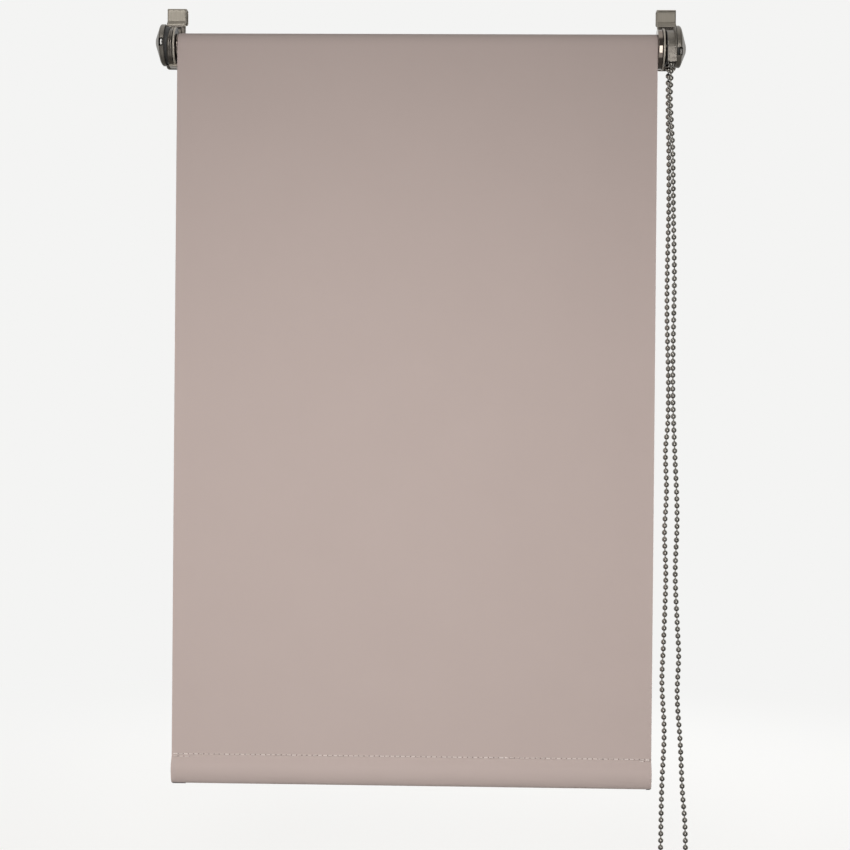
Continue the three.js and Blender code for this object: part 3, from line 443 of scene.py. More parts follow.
def joinParts(name, parts):
    shape = bmesh.new()
    for part in parts:
        shape.from_mesh(part.data)
        bpy.data.objects.remove(part)
    return linkPart(name, shape)


# Smooth shading, a finish, the carrying body and the nodes that the piece stands for. The slot is not used.
def dress(piece, material, slotName, body, *nodes, sharp=32):
    piece.data.shade_smooth()
    piece.data.set_sharp_from_angle(angle=math.radians(sharp))
    piece.data.materials.clear()
    piece.data.materials.append(material)
    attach(piece, body)
    if nodes:
        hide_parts(*nodes)
    return piece


# A geometry node tree with named inputs, its input node and its output node.
def newTree(name, *sockets):
    tree = bpy.data.node_groups.new(name, "GeometryNodeTree")
    tree.interface.new_socket("Geometry", in_out="INPUT", socket_type="NodeSocketGeometry")
    for label, kind in sockets:
        tree.interface.new_socket(label, in_out="INPUT", socket_type="NodeSocket" + kind)
    tree.interface.new_socket("Geometry", in_out="OUTPUT", socket_type="NodeSocketGeometry")
    return tree, tree.nodes.new("NodeGroupInput"), tree.nodes.new("NodeGroupOutput")


# Ends a tree: single instances made real, one material, and the output.
def endTree(tree, source, given, output):
    real = addNode(tree, "GeometryNodeRealizeInstances", {}, {0: source}).outputs[0]
    done = addNode(tree, "GeometryNodeSetMaterial", {}, {0: real, "Material": given.outputs["Material"]})
    tree.links.new(done.outputs[0], output.inputs[0])


def givenCurve(tree, given):
    return addNode(tree, "GeometryNodeMeshToCurve", {}, {"Mesh": given.outputs["Geometry"]}).outputs["Curve"]


# A round wire swept along a curve.
def sweepWire(tree, curve, radius, corners):
    wire = addNode(
        tree, "GeometryNodeCurvePrimitiveCircle", {"Resolution": corners}, {"Radius": radius},
    ).outputs["Curve"]
    return addNode(
        tree, "GeometryNodeCurveToMesh", {"Fill Caps": True}, {"Curve": curve, "Profile Curve": wire},
    ).outputs["Mesh"]


# A tree that draws a wire along each line, for ribs and springs.
def wireTree(name, radiusName, corners):
    tree, given, output = newTree(name, (radiusName, "Float"), ("Material", "Material"))
    wire = sweepWire(tree, givenCurve(tree, given), given.outputs[radiusName], corners)
    endTree(tree, wire, given, output)
    return tree


# Grows a tree on lines through given points, in millimetres from the roll's axis.
def growOnLines(name, lines, tree, values):
    shape = bmesh.new()
    for line in lines:
        corners = [shape.verts.new(point) for point in line]
        for pair in zip(corners, corners[1:]):
            shape.edges.new(pair)
    part = placePart(name, shape)
    grower = part.modifiers.new("grow", "NODES")
    grower.node_group = tree
    for item in tree.interface.items_tree:
        if item.item_type == "SOCKET" and item.in_out == "INPUT" and item.name in values:
            grower[item.identifier] = values[item.name]
    return settle(part)


# The camera stands where the photograph's was fitted to be, low and a little to the right.
view = {
    "eye": (0.04775, -1.5245, -0.36335), "lens": 72.32, "sensor": 36,
    "swing": 0.02677, "tilt": -0.00418, "roll": 0.00869,
}
camera = bpy.data.objects.new("camera", bpy.data.cameras.new("camera"))
scene.collection.objects.link(camera)
camera.data.sensor_width = view["sensor"]
camera.data.lens = view["lens"]
camera.data.clip_end = 50
level = Matrix(((1, 0, 0), (0, 0, -1), (0, 1, 0)))
turn = (
    Matrix.Rotation(view["swing"], 3, "Z") @ Matrix.Rotation(view["tilt"], 3, "X")
    @ level @ Matrix.Rotation(view["roll"], 3, "Z")
)
camera.matrix_world = Matrix.Translation(view["eye"]) @ turn.to_4x4()
scene.camera = camera
print("camera placed")


# Ball chain. X is measured from the wheel's middle, Y and Z from the roll's axis.
chain = {
    "wheelX": 219.0, "pitch": 6, "ballRadius": 2.4, "linkRadius": 0.62, "hangY": 11.196,
    "pitchRadius": 11.591, "top": -12.15, "firstBall": 2.85, "straightTo": -18, "endRoom": 2,
    "straightBalls": (-9, -3),
    "front": [
        (-0.2, -11.0, -28), (-0.4, -10.7, -46), (1, -10.3, -69), (2.3, -9.9, -93), (3.4, -9.0, -146),
        (4.8, -8.2, -200), (4.4, -7.3, -253), (4.6, -6.5, -301), (6.7, -5.7, -350), (9, -5.0, -392),
        (9.5, -4.6, -416), (8.4, -3.9, -458), (10.9, -3.2, -506), (12.2, -2.8, -529), (11.3, -2.2, -565),
        (14.4, -1.5, -606), (16.8, -0.8, -649), (19.3, -0.4, -678), (20.1, 0, -710), (20, 0, -738),
        (18.4, 0, -744.6), (14.4, 0, -749.2),
    ],
    "rear": [
        (0, 11.0, -32), (0.2, 10.6, -56), (1.1, 10.0, -94), (1.3, 9.2, -143), (0.5, 8.4, -190),
        (0.5, 7.7, -232), (2.2, 6.7, -292), (1.8, 6.1, -328), (0, 5.8, -351), (1.2, 5.2, -387),
        (-0.3, 4.6, -423), (1.1, 4.0, -459), (-0.4, 3.0, -519), (-1.6, 2.4, -554), (0.7, 1.7, -597),
        (-1, 0.9, -644), (-1.6, 0.3, -690), (-1.8, 0, -716), (-1.7, 0, -738), (-0.1, 0, -744.6),
        (3.8, 0, -749.2),
    ],
}


# Points about 1 mm apart on a smooth curve through the route's points.
def smoothRoute(points):
    first = points[0] * 2 - points[1]
    last = points[-1] * 2 - points[-2]
    held = [first, *points, last]
    fine = [points[0]]
    for a, b, c, d in zip(held, held[1:], held[2:], held[3:]):
        gaps = [math.sqrt((q - p).length) for p, q in ((a, b), (b, c), (c, d))]
        startPull = ((b - a) / gaps[0] - (c - a) / (gaps[0] + gaps[1]) + (c - b) / gaps[1]) * gaps[1]
        endPull = ((c - b) / gaps[1] - (d - b) / (gaps[1] + gaps[2]) + (d - c) / gaps[2]) * gaps[1]
        steps = max(6, int((c - b).length))
        for i in range(1, steps + 1):
            t = i / steps
            fine.append(
                b * (2 * t ** 3 - 3 * t ** 2 + 1) + startPull * (t ** 3 - 2 * t ** 2 + t)
                + c * (3 * t ** 2 - 2 * t ** 3) + endPull * (t ** 3 - t ** 2)
            )
    return fine


# Places along a line, a pitch apart, the first at a given distance from its start.
def placesAlong(line, first, pitch, spare):
    total = sum((b - a).length for a, b in zip(line, line[1:]))
    places = []
    run = 0
    wanted = first
    for a, b in zip(line, line[1:]):
        step = (b - a).length
        while wanted <= run + step and wanted < total - spare:
            places.append(a.lerp(b, (wanted - run) / step))
            wanted += pitch
        run += step
    return places, total


def strand(word, side):
    x = chain["wheelX"]
    points = [Vector((x, side * chain["hangY"], z)) for z in (chain["top"], chain["straightTo"])]
    points += [Vector((x + p[0], p[1], p[2])) for p in chain[word]]
    line = smoothRoute(points)
    balls, total = placesAlong(line, chain["firstBall"], chain["pitch"], chain["endRoom"])
    print(f"{word} strand: {total:.1f} mm, {len(balls)} balls")
    return line, balls, total


# A ball on every point of the line, turned along it, and a thin link through them all.
def chainTree():
    tree, given, output = newTree(
        "ball chain", ("Ball radius", "Float"), ("Link radius", "Float"), ("Material", "Material"),
    )
    line = givenCurve(tree, given)
    ball = addNode(
        tree, "GeometryNodeMeshUVSphere", {"Segments": 14, "Rings": 8},
        {"Radius": given.outputs["Ball radius"]},
    ).outputs["Mesh"]
    along = addNode(tree, "GeometryNodeInputTangent").outputs["Tangent"]
    lie = addNode(
        tree, "FunctionNodeAlignRotationToVector", {}, {"Vector": along}, axis="Z",
    ).outputs["Rotation"]
    balls = addNode(
        tree, "GeometryNodeInstanceOnPoints", {}, {"Points": line, "Instance": ball, "Rotation": lie},
    ).outputs["Instances"]
    links = sweepWire(tree, line, given.outputs["Link radius"], 6)
    both = tree.nodes.new("GeometryNodeJoinGeometry")
    for source in (links, balls):
        tree.links.new(source, both.inputs[0])
    endTree(tree, both.outputs[0], given, output)
    return tree


beadTree = chainTree()
beadSizes = {
    "Ball radius": chain["ballRadius"] * millimetre, "Link radius": chain["linkRadius"] * millimetre,
    "Material": beadNickel,
}
frontLine, frontBalls, frontLength = strand("front", -1)
rearLine, rearBalls, rearLength = strand("rear", 1)

# The hanging chain, down the front strand to the connector and up the rear one.
hangingChain = growOnLines(
    "hanging_chain", [[frontLine[0], *frontBalls, frontLine[-1]], [rearLine[0], *rearBalls, rearLine[-1]]],
    beadTree, beadSizes,
)
dress(hangingChain, beadNickel, "nickel", "headrail", "chain_front", "chain_rear", sharp=180)

# The balls that lie in the wheel's pockets, and the two on each side that hang inside the guard.
sixth = [math.radians(165 - 30 * i) for i in range(6)]
wrap = [Vector((chain["wheelX"], -chain["hangY"], z)) for z in chain["straightBalls"]]
wrap += [Vector((
    chain["wheelX"], chain["pitchRadius"] * math.cos(a), chain["pitchRadius"] * math.sin(a),
)) for a in sixth]
wrap += [Vector((chain["wheelX"], chain["hangY"], z)) for z in reversed(chain["straightBalls"])]
wheelBalls = growOnLines("chain_on_wheel", [wrap], beadTree, beadSizes)
dress(wheelBalls, beadNickel, "nickel", "headrail", "chain_wrap", sharp=180)

# The connector: a barrel in two snapped halves, with a lip at each end.
connector = {"x": 228.1, "z": -749.46, "half": 5, "radius": 2.9, "lip": 0.45}
barrel = bmesh.new()
half, radius, lip = connector["half"], connector["radius"], connector["lip"]
addTurned(barrel, [
    (-half, 0), (-half, radius * 0.55), (-half + lip, radius * 0.8), (-half + lip * 2, radius - lip / 2),
    (-half + lip * 4, radius), (-lip, radius), (-lip / 2, radius - lip), (lip / 2, radius - lip),
    (lip, radius), (half - lip * 4, radius), (half - lip * 2, radius - lip / 2), (half - lip, radius * 0.8),
    (half, radius * 0.55), (half, 0),
], 40)
bmesh.ops.translate(barrel, verts=barrel.verts, vec=(connector["x"], 0, connector["z"]))
chainJoint = makePart("chain_joint", barrel)
dress(chainJoint, paleMoulding, "white_plastic", "headrail", "chain_connector", sharp=50)


# Hooks: a strip bent over the lip, stepped forward below it. Measured from the bearing line.
hook = {
    "width": 16.8, "thickness": 1.2, "corner": 2.5, "rearCorner": 1.5, "columns": 10, "rowLength": 1.5,
    "middle": [(9.6, -12), (9.6, 0.6), (-0.6, 0.6), (-0.6, -10.5), (-3, -13.1), (-3, -54)],
    "bends": (1.6, 1.6, 1, 1),
}


# The strip's middle line with rounded bends, as points in Y and Z.
def bentLine(corners, bends, steps):
    line = [Vector(corners[0])]
    for before, at, after, radius in zip(corners, corners[1:], corners[2:], bends):
        at = Vector(at)
        into = (at - Vector(before)).normalized()
        out = (Vector(after) - at).normalized()
        swing = math.atan2(into.x * out.y - into.y * out.x, into.dot(out))
        reach = radius * math.tan(abs(swing) / 2)
        start = at - into * reach
        centre = start + Vector((-into.y, into.x)) * (math.copysign(radius, swing))
        arm = start - centre
        for i in range(steps + 1):
            a = swing * i / steps
            swung = Vector((
                arm.x * math.cos(a) - arm.y * math.sin(a), arm.x * math.sin(a) + arm.y * math.cos(a),
            ))
            line.append(centre + swung)
    line.append(Vector(corners[-1]))
    return line


def hookStrip(word, side):
    line = bentLine(hook["middle"], hook["bends"], 8)
    rows = [line[0]]
    for a, b in zip(line, line[1:]):
        pieces = max(1, int((b - a).length / hook["rowLength"]))
        rows += [a.lerp(b, i / pieces) for i in range(1, pieces + 1)]
    runs = [0]
    for a, b in zip(rows, rows[1:]):
        runs.append(runs[-1] + (b - a).length)
    # Extra rows where the ends are rounded
    total = runs[-1]
    extraShares = (0.02, 0.1, 0.25, 0.5, 0.8)
    marks = sorted(set(
        [round(r, 4) for r in runs]
        + [round(share * hook["rearCorner"], 4) for share in extraShares]
        + [round(total - share * hook["corner"], 4) for share in extraShares]
    ))
    shape = bmesh.new()
    grid = []
    for mark in marks:
        k = max(i for i, r in enumerate(runs) if r <= mark + 0.001)
        k = min(k, len(rows) - 2)
        at = rows[k].lerp(rows[k + 1], (mark - runs[k]) / (runs[k + 1] - runs[k]))
        wide = hook["width"] / 2
        for corner, away in ((hook["rearCorner"], mark), (hook["corner"], total - mark)):
            if away < corner:
                wide = hook["width"] / 2 - corner + math.sqrt(corner ** 2 - (corner - away) ** 2)
        grid.append([
            shape.verts.new((side * ends["hookX"] + wide * (2 * i / hook["columns"] - 1), at.x, at.y))
            for i in range(hook["columns"] + 1)
        ])
    for here, there in zip(grid, grid[1:]):
        for i in range(hook["columns"]):
            shape.faces.new((here[i], here[i + 1], there[i + 1], there[i]))
    strip = makePart(f"hook_strip_{word}", shape, Vector())
    thicken(strip, hook["thickness"])
    softenEdges(strip, edges["strip"], 2, 55)
    return dress(strip, stripSteel, "strip_metal", "headrail", f"hanger_{word}", sharp=40)


hookStrip("left", -1)
hookStrip("right", 1)
print("hooks bent")


# Side plates and feet, the same on both sides.
plate = {
    "radius": 18, "thickness": 1.7, "startAngle": 76, "endAngle": 308, "leftX": -215.2, "rightX": 211.8,
    "footFront": 18.6, "footBack": 20.6, "footTop": 24.3, "footBottom": -14.0, "corner": 2.5,
    "screwHeights": (18.8, -10), "bossRadius": 3, "bossReach": 15.6, "screwRadius": 1.25,
    "headRadius": 2.8, "headHeight": 1.3, "headFace": 22.4, "footSlot": (-217.1, 21, -213.6, 22.4),
    "slotCorner": 0.6, "shadeRoom": 0.05, "shadeFront": 0.6, "shadeBack": 0.1, "bossSink": 0.2,
    "hubHole": 7.9, "pegHole": 1.7, "pegCircle": 13.2, "pegAngles": (60, 180, 300),
    "screwTip": (0.3, 1.2), "recess": (1.5, 0.34), "recessDepth": 0.8,
}


def plateOutline():
    curve = arc((0, 0), plate["radius"], plate["startAngle"], plate["endAngle"], 64)
    back = (plate["footFront"] + plate["footBack"]) / 2
    low = (back, plate["footBottom"] + plate["corner"])
    high = (back, plate["footTop"] - plate["corner"])
    top = curve[0]
    return curve + [low, high] + bend(high, (plate["footFront"] - plate["corner"], top[1]), top, 10)[:-1]


def sidePlate(low):
    return softenEdges(prism("plate", plateOutline(), low, low + plate["thickness"]), edges["plate"], 3)


def footParts(side):
    middle = side * ends["hookX"]
    wide = hook["width"] / 2
    outline = roundedBox(
        (middle - wide, plate["footBottom"]), (middle + wide, plate["footTop"]), plate["corner"],
    )
    foot = prism("foot", outline, plate["footFront"], plate["footBack"], "y")
    if side < 0:
        left, low, right, high = plate["footSlot"]
        slot = roundedBox((left, low), (right, high), plate["slotCorner"])
        cutAway(foot, prism("slot", slot, plate["footFront"] - overrun, plate["footBack"] + overrun, "y"))
    softenEdges(foot, edges["foot"])
    bosses = bmesh.new()
    for z in plate["screwHeights"]:
        boss = circle((middle, z), plate["bossRadius"], 24)
        addPrism(bosses, boss, plate["bossReach"], plate["footFront"] + plate["bossSink"], "y")
    return [foot, softenEdges(makePart("bosses", bosses), edges["boss"], 3)]


# A round cutter along X, through a thin wall that starts at a given place.
def borer(radius, low, y=0, z=0):
    return prism("borer", circle((y, z), radius, 48), low - overrun, low + 3 * overrun)


# Dark spigot ring that a cap snaps over, and the bright latch in the cap's opening.
latch = {
    "ringInner": 14.6, "ringOuter": 16, "height": 4.9, "stand": 0.7, "depth": 2.2, "notch": 0.6,
    "leftX": (-226.0, -224.3), "rightX": (226.0, 227.8), "leftDrop": 0.45, "rightDrop": 7.1,
    "leftRing": (-225.3, -219.0), "rightRing": (222.8, 225.7), "corner": 0.7,
}


def spigotRing(word):
    profile = ringProfile(latch["ringInner"], latch["ringOuter"], *latch[f"{word}Ring"])
    ring = softenEdges(turned(f"cap_spigot_{word}", profile, 96, ends["capRise"]), edges["spigot"], 2, 50)
    node = "bracket_left" if word == "left" else "chain_guard"
    # The ring is charcoal: painted shade for the dark recess beside the cap and round the latch.
    return dress(ring, darkMoulding, "dark_plastic", "headrail", node)


def latchPiece(word):
    xs, drop = latch[f"{word}X"], latch[f"{word}Drop"]
    face = -math.sqrt(latch["ringOuter"] ** 2 - drop ** 2)
    middle = ends["capRise"] - drop
    outline = roundedBox(
        (xs[0], middle - latch["height"] / 2), (xs[1], middle + latch["height"] / 2), latch["corner"], 5,
    )
    low, high = face - latch["stand"], face + latch["depth"] - latch["stand"]
    piece = prism(f"cap_latch_{word}", outline, low, high, "y")
    notch = circle((xs[1] if word == "left" else xs[0], middle), latch["notch"], 16)
    cutAway(piece, prism("notch", notch, low - overrun, high + overrun, "y"))
    softenEdges(piece, edges["latch"], 3)
    # The right latch takes the darker copy of the steel, as painted shade.
    return dress(piece, latchSteel if word == "left" else shadedLatchSteel, "spring_steel", "headrail")


# Left bracket: plate, hub, round body with a turned groove, bottom lip and spigot.
body = {
    "inner": -216.1, "outer": -219.3, "radius": 17, "hubRadius": 7.5, "lipRadius": 17.6, "grooveDepth": 0.35,
    "lipThickness": 2.2, "lipHalfAngle": 27, "lipEnd": -212.2, "socketRadius": 3.3, "socketEnd": -218.9,
    "lipRoom": 0.12, "seatHalfAngle": 27.24, "shoulder": 1, "shoulderDrop": 0.5, "grooveHalf": 0.2,
    "toe": ((-7.9, -15.1), (-9.6, -16.5), (-9.8, -17.1), (-9.2, -17.7), (0, -17.75)),
}


# The seat that the lip fills, cut out of the body and the plate.
def lipSeat():
    half = body["seatHalfAngle"]
    inside = body["lipRadius"] - body["lipThickness"] - body["lipRoom"]
    outline = arc((0, 0), body["lipRadius"] + 2 * overrun, -90 - half, -90 + half, 32)
    outline += arc((0, 0), inside, -90 + half, -90 - half, 32)
    return prism("seat", outline, body["outer"] - 2 * overrun, body["lipEnd"] + 2 * overrun)


# The lip follows the seat inside and has a toe that points forward, with a sloping top.
def bottomLip():
    half = body["lipHalfAngle"]
    outline = list(body["toe"]) + arc((0, 0), body["lipRadius"], -88, -90 + half, 12)
    outline += arc((0, 0), body["lipRadius"] - body["lipThickness"], -90 + half, -90 - half, 32)
    return softenEdges(prism("lip", outline, body["outer"], body["lipEnd"]), edges["lip"], 3)


grooveX = (body["outer"] + body["inner"]) / 2
plateInside = plate["leftX"] + plate["thickness"]
leftBody = turned("body", [
    (body["outer"] - body["shoulder"], 0),
    (body["outer"] - body["shoulder"], body["radius"] - body["shoulderDrop"]),
    (body["outer"], body["radius"]), (grooveX - body["grooveHalf"], body["radius"]),
    (grooveX, body["radius"] - body["grooveDepth"]), (grooveX + body["grooveHalf"], body["radius"]),
    (body["inner"], body["radius"]), (body["inner"], body["hubRadius"]),
    (plateInside, body["hubRadius"]), (plateInside, body["socketRadius"]),
    (body["socketEnd"], body["socketRadius"]), (body["socketEnd"], 0),
], 96)
cutAway(softenEdges(leftBody, edges["body"], 2, 60), lipSeat())
leftBody = joinParts("bracket_body_left", [leftBody, *footParts(-1)])
dress(leftBody, bracketLacquer, "bracket_shell", "headrail", "bracket_left")
# A charcoal block inside the foot's slot, a little behind its face: painted shade that keeps the slot dark.
left, low, right, high = plate["footSlot"]
room = plate["shadeRoom"]
slotShade = prism(
    "foot_slot_liner",
    roundedBox((left + room, low + room), (right - room, high - room), plate["slotCorner"] - room),
    plate["footFront"] + plate["shadeFront"], plate["footBack"] - plate["shadeBack"], "y",
)
dress(slotShade, darkMoulding, "dark_plastic", "headrail")
leftPlate = sidePlate(plate["leftX"])
cutAway(leftPlate, borer(body["socketRadius"], plate["leftX"]), lipSeat())
# The lip joins the plate, so its toe takes the rim's lighter colour: a painted highlight.
leftPlate = joinParts("bracket_plate_left", [leftPlate, bottomLip()])
dress(leftPlate, plateSteel, "strip_metal", "headrail", "bracket_left")
spigotRing("left")
latchPiece("left")

# Right bracket: the plate with its hub hole and three peg holes, and the foot.
pegPlaces = [(
    plate["pegCircle"] * math.cos(math.radians(a)), plate["pegCircle"] * math.sin(math.radians(a)),
) for a in plate["pegAngles"]]
rightPlate = sidePlate(plate["rightX"])
cutAway(
    rightPlate, borer(plate["hubHole"], plate["rightX"]),
    *[borer(plate["pegHole"], plate["rightX"], y, z) for y, z in pegPlaces],
)
rightPlate.name = "bracket_plate_right"
dress(rightPlate, plateSteel, "strip_metal", "headrail", "bracket_right")
rightFoot = joinParts("bracket_foot_right", footParts(1))
dress(rightFoot, bracketLacquer, "bracket_shell", "headrail", "bracket_right")
print("brackets made")


# Bracket screws: one pan head screw with a cross recess, set on four points from behind.
def screwBlank():
    shape = bmesh.new()
    face, head = plate["headFace"], plate["headRadius"]
    start, point = plate["screwTip"]
    tip = plate["bossReach"] + start
    profile = [
        (tip, 0), (tip + point, plate["screwRadius"]), (face, plate["screwRadius"]), (face, head),
        (face + plate["headHeight"] * 0.4, head), (face + plate["headHeight"] * 0.8, head * 0.8),
        (face + plate["headHeight"], head * 0.45), (face + plate["headHeight"], 0),
    ]
    addTurned(shape, profile, 24)
    bmesh.ops.rotate(shape, verts=shape.verts, matrix=Matrix.Rotation(math.radians(90), 3, "Z"))
    blank = makePart("screw_blank", shape, Vector())
    long, thin = plate["recess"]
    crown = face + plate["headHeight"]
    arms = [prism(
        "recess", [(-wide, -tall), (wide, -tall), (wide, tall), (-wide, tall)],
        crown - plate["recessDepth"], crown + overrun, "y", Vector(),
    ) for wide, tall in ((long, thin), (thin, long))]
    return cutAway(blank, *arms)


def screwTree():
    tree, given, output = newTree("set screws", ("Screw", "Object"), ("Material", "Material"))
    screw = addNode(
        tree, "GeometryNodeObjectInfo", {}, {"Object": given.outputs["Screw"]},
    ).outputs["Geometry"]
    spin = addNode(tree, "FunctionNodeRandomValue", {"Min": (0, -0.8, 0), "Max": (0, 0.8, 0), "Seed": 4},
                   data_type="FLOAT_VECTOR").outputs[0]
    screws = addNode(
        tree, "GeometryNodeInstanceOnPoints", {},
        {"Points": given.outputs["Geometry"], "Instance": screw, "Rotation": spin},
    ).outputs["Instances"]
    endTree(tree, screws, given, output)
    return tree


screw = screwBlank()
screwPlaces = [[(side * ends["hookX"], 0, z)] for side in (-1, 1) for z in plate["screwHeights"]]
screws = growOnLines("bracket_screws", screwPlaces, screwTree(), {"Screw": screw, "Material": zincSteel})
bpy.data.objects.remove(screw)
dress(
    screws, zincSteel, "spring_steel", "headrail", "bracket_screw_left_upper", "bracket_screw_left_lower",
    "bracket_screw_right_upper", "bracket_screw_right_lower",
)


# End caps: a leaning dome with an opening for the latch.
cap = {
    "radius": 18.1, "depth": 9.4, "wall": 1.4, "skirt": 2.6, "tip": (9, 4), "openingInset": 0.4,
    "rimRound": 0.35, "openingCorner": 0.6,
    "left": {"rim": -223.0, "lean": 2.4, "shoulder": (4.9, 15.2), "opening": (3.9, 7.1)},
    "right": {"rim": 223.4, "lean": -2.4, "shoulder": (4.9, 16.0), "opening": (4.7, 6.5)},
}


def endCap(word, side, drop):
    own = cap[word]
    rim = own["rim"]
    shoulderX, shoulderR = own["shoulder"]
    tipX, tipR = cap["tip"]
    radius, wall = cap["radius"], cap["wall"]
    outer = [(0, radius - cap["rimRound"]), (cap["rimRound"], radius), (cap["skirt"], radius)]
    outer += bend(outer[-1], (shoulderX - wall / 2, radius), (shoulderX, shoulderR), 8)
    run = [(
        shoulderX + (tipX - shoulderX) * i / 6, shoulderR + (tipR - shoulderR) * i / 6,
    ) for i in range(1, 7)]
    outer += run + bend((tipX, tipR), (cap["depth"], tipR / 2), (cap["depth"], 0), 8)
    inner = [
        (cap["depth"] - wall, 0), (tipX - wall, tipR - wall / 2), (shoulderX - wall * 0.8, shoulderR - wall),
        (cap["skirt"] - wall / 4, radius - wall), (0, radius - wall),
    ]
    shape = bmesh.new()
    steps = 112
    profile = outer + inner
    start = len(outer) - 1  # where the profile first meets the axis
    order = profile[start + 1:] + profile[:start + 1]
    addTurned(shape, order, steps)
    for corner in shape.verts:
        share = max(0, (corner.co.x - cap["skirt"]) / (cap["depth"] - cap["skirt"]))
        corner.co.z += own["lean"] * share
        corner.co.x = rim + side * corner.co.x
        corner.co.z += ends["capRise"]
    piece = makePart(f"cap_{word}", shape)
    near = rim + side * cap["openingInset"]
    xs = sorted((near, near + side * own["opening"][0]))
    middle = ends["capRise"] - drop
    tall = own["opening"][1] / 2
    outline = roundedBox((xs[0], middle - tall), (xs[1], middle + tall), cap["openingCorner"], 5)
    cutAway(piece, prism("opening", outline, -radius - overrun, -radius / 2, "y"))
    softenEdges(piece, edges["cap"], 2, 45)
    return dress(piece, capLacquer, "cap_shell", "headrail", f"end_cap_{word}", sharp=26)


endCap("left", -1, latch["leftDrop"])
endCap("right", 1, latch["rightDrop"])

# Chain guard: an arch with a straight apron in front, cheeks on both sides and an open underside.
guard = {
    "inner": 214.9, "outer": 223.1, "radius": 16.6, "shell": 1.3, "wall": 1, "apronDrop": 13.1,
    "backDrop": 5, "discRadius": 17.4, "padStand": 0.5, "padTop": 0.9, "padSlope": 1.2, "padBottom": -13.7,
    "padLeft": 215.4, "padRight": 223.2, "pips": (216.4, 222.1, -0.9, -8.2), "pipRadius": 0.6,
    "ring": (220.1, -4.9), "ringRadius": 1.7, "ribs": (-10.5, -11.6, -12.7), "pegRadius": 1.4,
    "ribInset": 1.3, "ribRadius": 0.24, "cheekRoom": 0.05, "cheekInset": 0.02, "padSink": 0.4,
    "pegStart": 0.3, "pegSink": 0.5, "pipSink": 0.1, "pipShare": 0.75, "ringFoot": (0.12, 0.28),
    "ringCrown": (-0.16, 0.18),
}


def chainGuard():
    outerR, innerR = guard["radius"], guard["radius"] - guard["shell"]
    backAngle = -math.degrees(math.asin(guard["backDrop"] / outerR))
    arch = [(-outerR, -guard["apronDrop"])] + arc((0, 0), outerR, 180, backAngle, 56)
    arch += arc((0, 0), innerR, backAngle, 180, 56) + [(-innerR, -guard["apronDrop"])]
    parts = [softenEdges(prism("arch", arch, guard["padLeft"], guard["outer"]), edges["arch"])]
    cheeks = []
    cutAngle = math.degrees(math.asin(guard["apronDrop"] / outerR))
    cheek = arc((0, 0), outerR - guard["cheekRoom"], -cutAngle, 180 + cutAngle, 64)
    inset = guard["cheekInset"]
    for low in (guard["inner"] + inset, guard["outer"] - guard["wall"] - inset):
        part = prism("cheek", cheek, low, low + guard["wall"])
        if low < chain["wheelX"]:
            cutAway(part, borer(plate["hubHole"], low))
        cheeks.append(part)
    # The cheeks are charcoal: painted shade for the dark gap between the plate and the guard.
    dress(joinParts("housing_cheeks", cheeks), darkMoulding, "dark_plastic", "headrail", "chain_guard")
    discLeft = guard["outer"] - guard["wall"]
    disc = turned("disc", [
        (discLeft, 0), (discLeft, guard["discRadius"]), (guard["outer"], guard["discRadius"]),
        (guard["outer"], 0),
    ], 96, ends["capRise"])
    parts.append(softenEdges(disc, edges["disc"], 3, 50))
    face = -outerR - guard["padStand"]
    back = -outerR + guard["padSink"]
    pad = prism("pad", [
        (face, guard["padBottom"]), (face, guard["padTop"] - guard["padSlope"]), (-outerR, guard["padTop"]),
        (back, guard["padTop"]), (back, guard["padBottom"]),
    ], guard["padLeft"], guard["padRight"])
    apron = [softenEdges(pad, edges["pad"], 3, 20)]
    pegs = bmesh.new()
    for place in pegPlaces:
        addPrism(
            pegs, circle(place, guard["pegRadius"], 24),
            plate["rightX"] + guard["pegStart"], guard["inner"] + guard["pegSink"],
        )
    parts.append(softenEdges(makePart("pegs", pegs), edges["peg"]))
    marks = bmesh.new()
    flatten = Matrix.Scale(guard["pipShare"], 4, (0, 1, 0))
    for x in guard["pips"][:2]:
        for z in guard["pips"][2:]:
            pip = Matrix.Translation((x, face + guard["pipSink"], z)) @ flatten
            bmesh.ops.create_icosphere(marks, subdivisions=3, radius=guard["pipRadius"], matrix=pip)
    dress(makePart("apron_pips", marks), latchSteel, "spring_steel", "headrail")
    radius = guard["ringRadius"]
    (foot, footHalf), (crown, crownHalf) = guard["ringFoot"], guard["ringCrown"]
    ring = bmesh.new()
    addTurned(ring, [
        (foot, radius - footHalf), (crown, radius - crownHalf), (crown, radius + crownHalf),
        (foot, radius + footHalf),
    ], 40)
    place = Matrix.Translation((guard["ring"][0], face, guard["ring"][1]))
    turnToFront = place @ Matrix.Rotation(math.radians(90), 4, "Z")
    bmesh.ops.transform(ring, matrix=turnToFront, verts=ring.verts)
    apron.append(makePart("ring", ring))
    dress(joinParts("guard_apron", apron), apronLitLacquer, "cap_shell", "headrail", "chain_guard")
    dress(joinParts("chain_housing", parts), capLacquer, "cap_shell", "headrail", "chain_guard")


chainGuard()

# Ribs low on the apron pad, a thumb grip in three raised lines.
ribFace = -guard["radius"] - guard["padStand"]
ribEnds = (guard["inner"] + guard["ribInset"], guard["outer"] - guard["ribInset"])
ribLines = [[(x, ribFace, z) for x in ribEnds] for z in guard["ribs"]]
ribs = growOnLines(
    "apron_ribs", ribLines, wireTree("apron ribs", "Rib radius", 10),
    {"Rib radius": guard["ribRadius"] * millimetre, "Material": apronLitLacquer},
)
dress(ribs, apronLitLacquer, "cap_shell", "headrail")
spigotRing("right")
latchPiece("right")
print("caps and guard made")


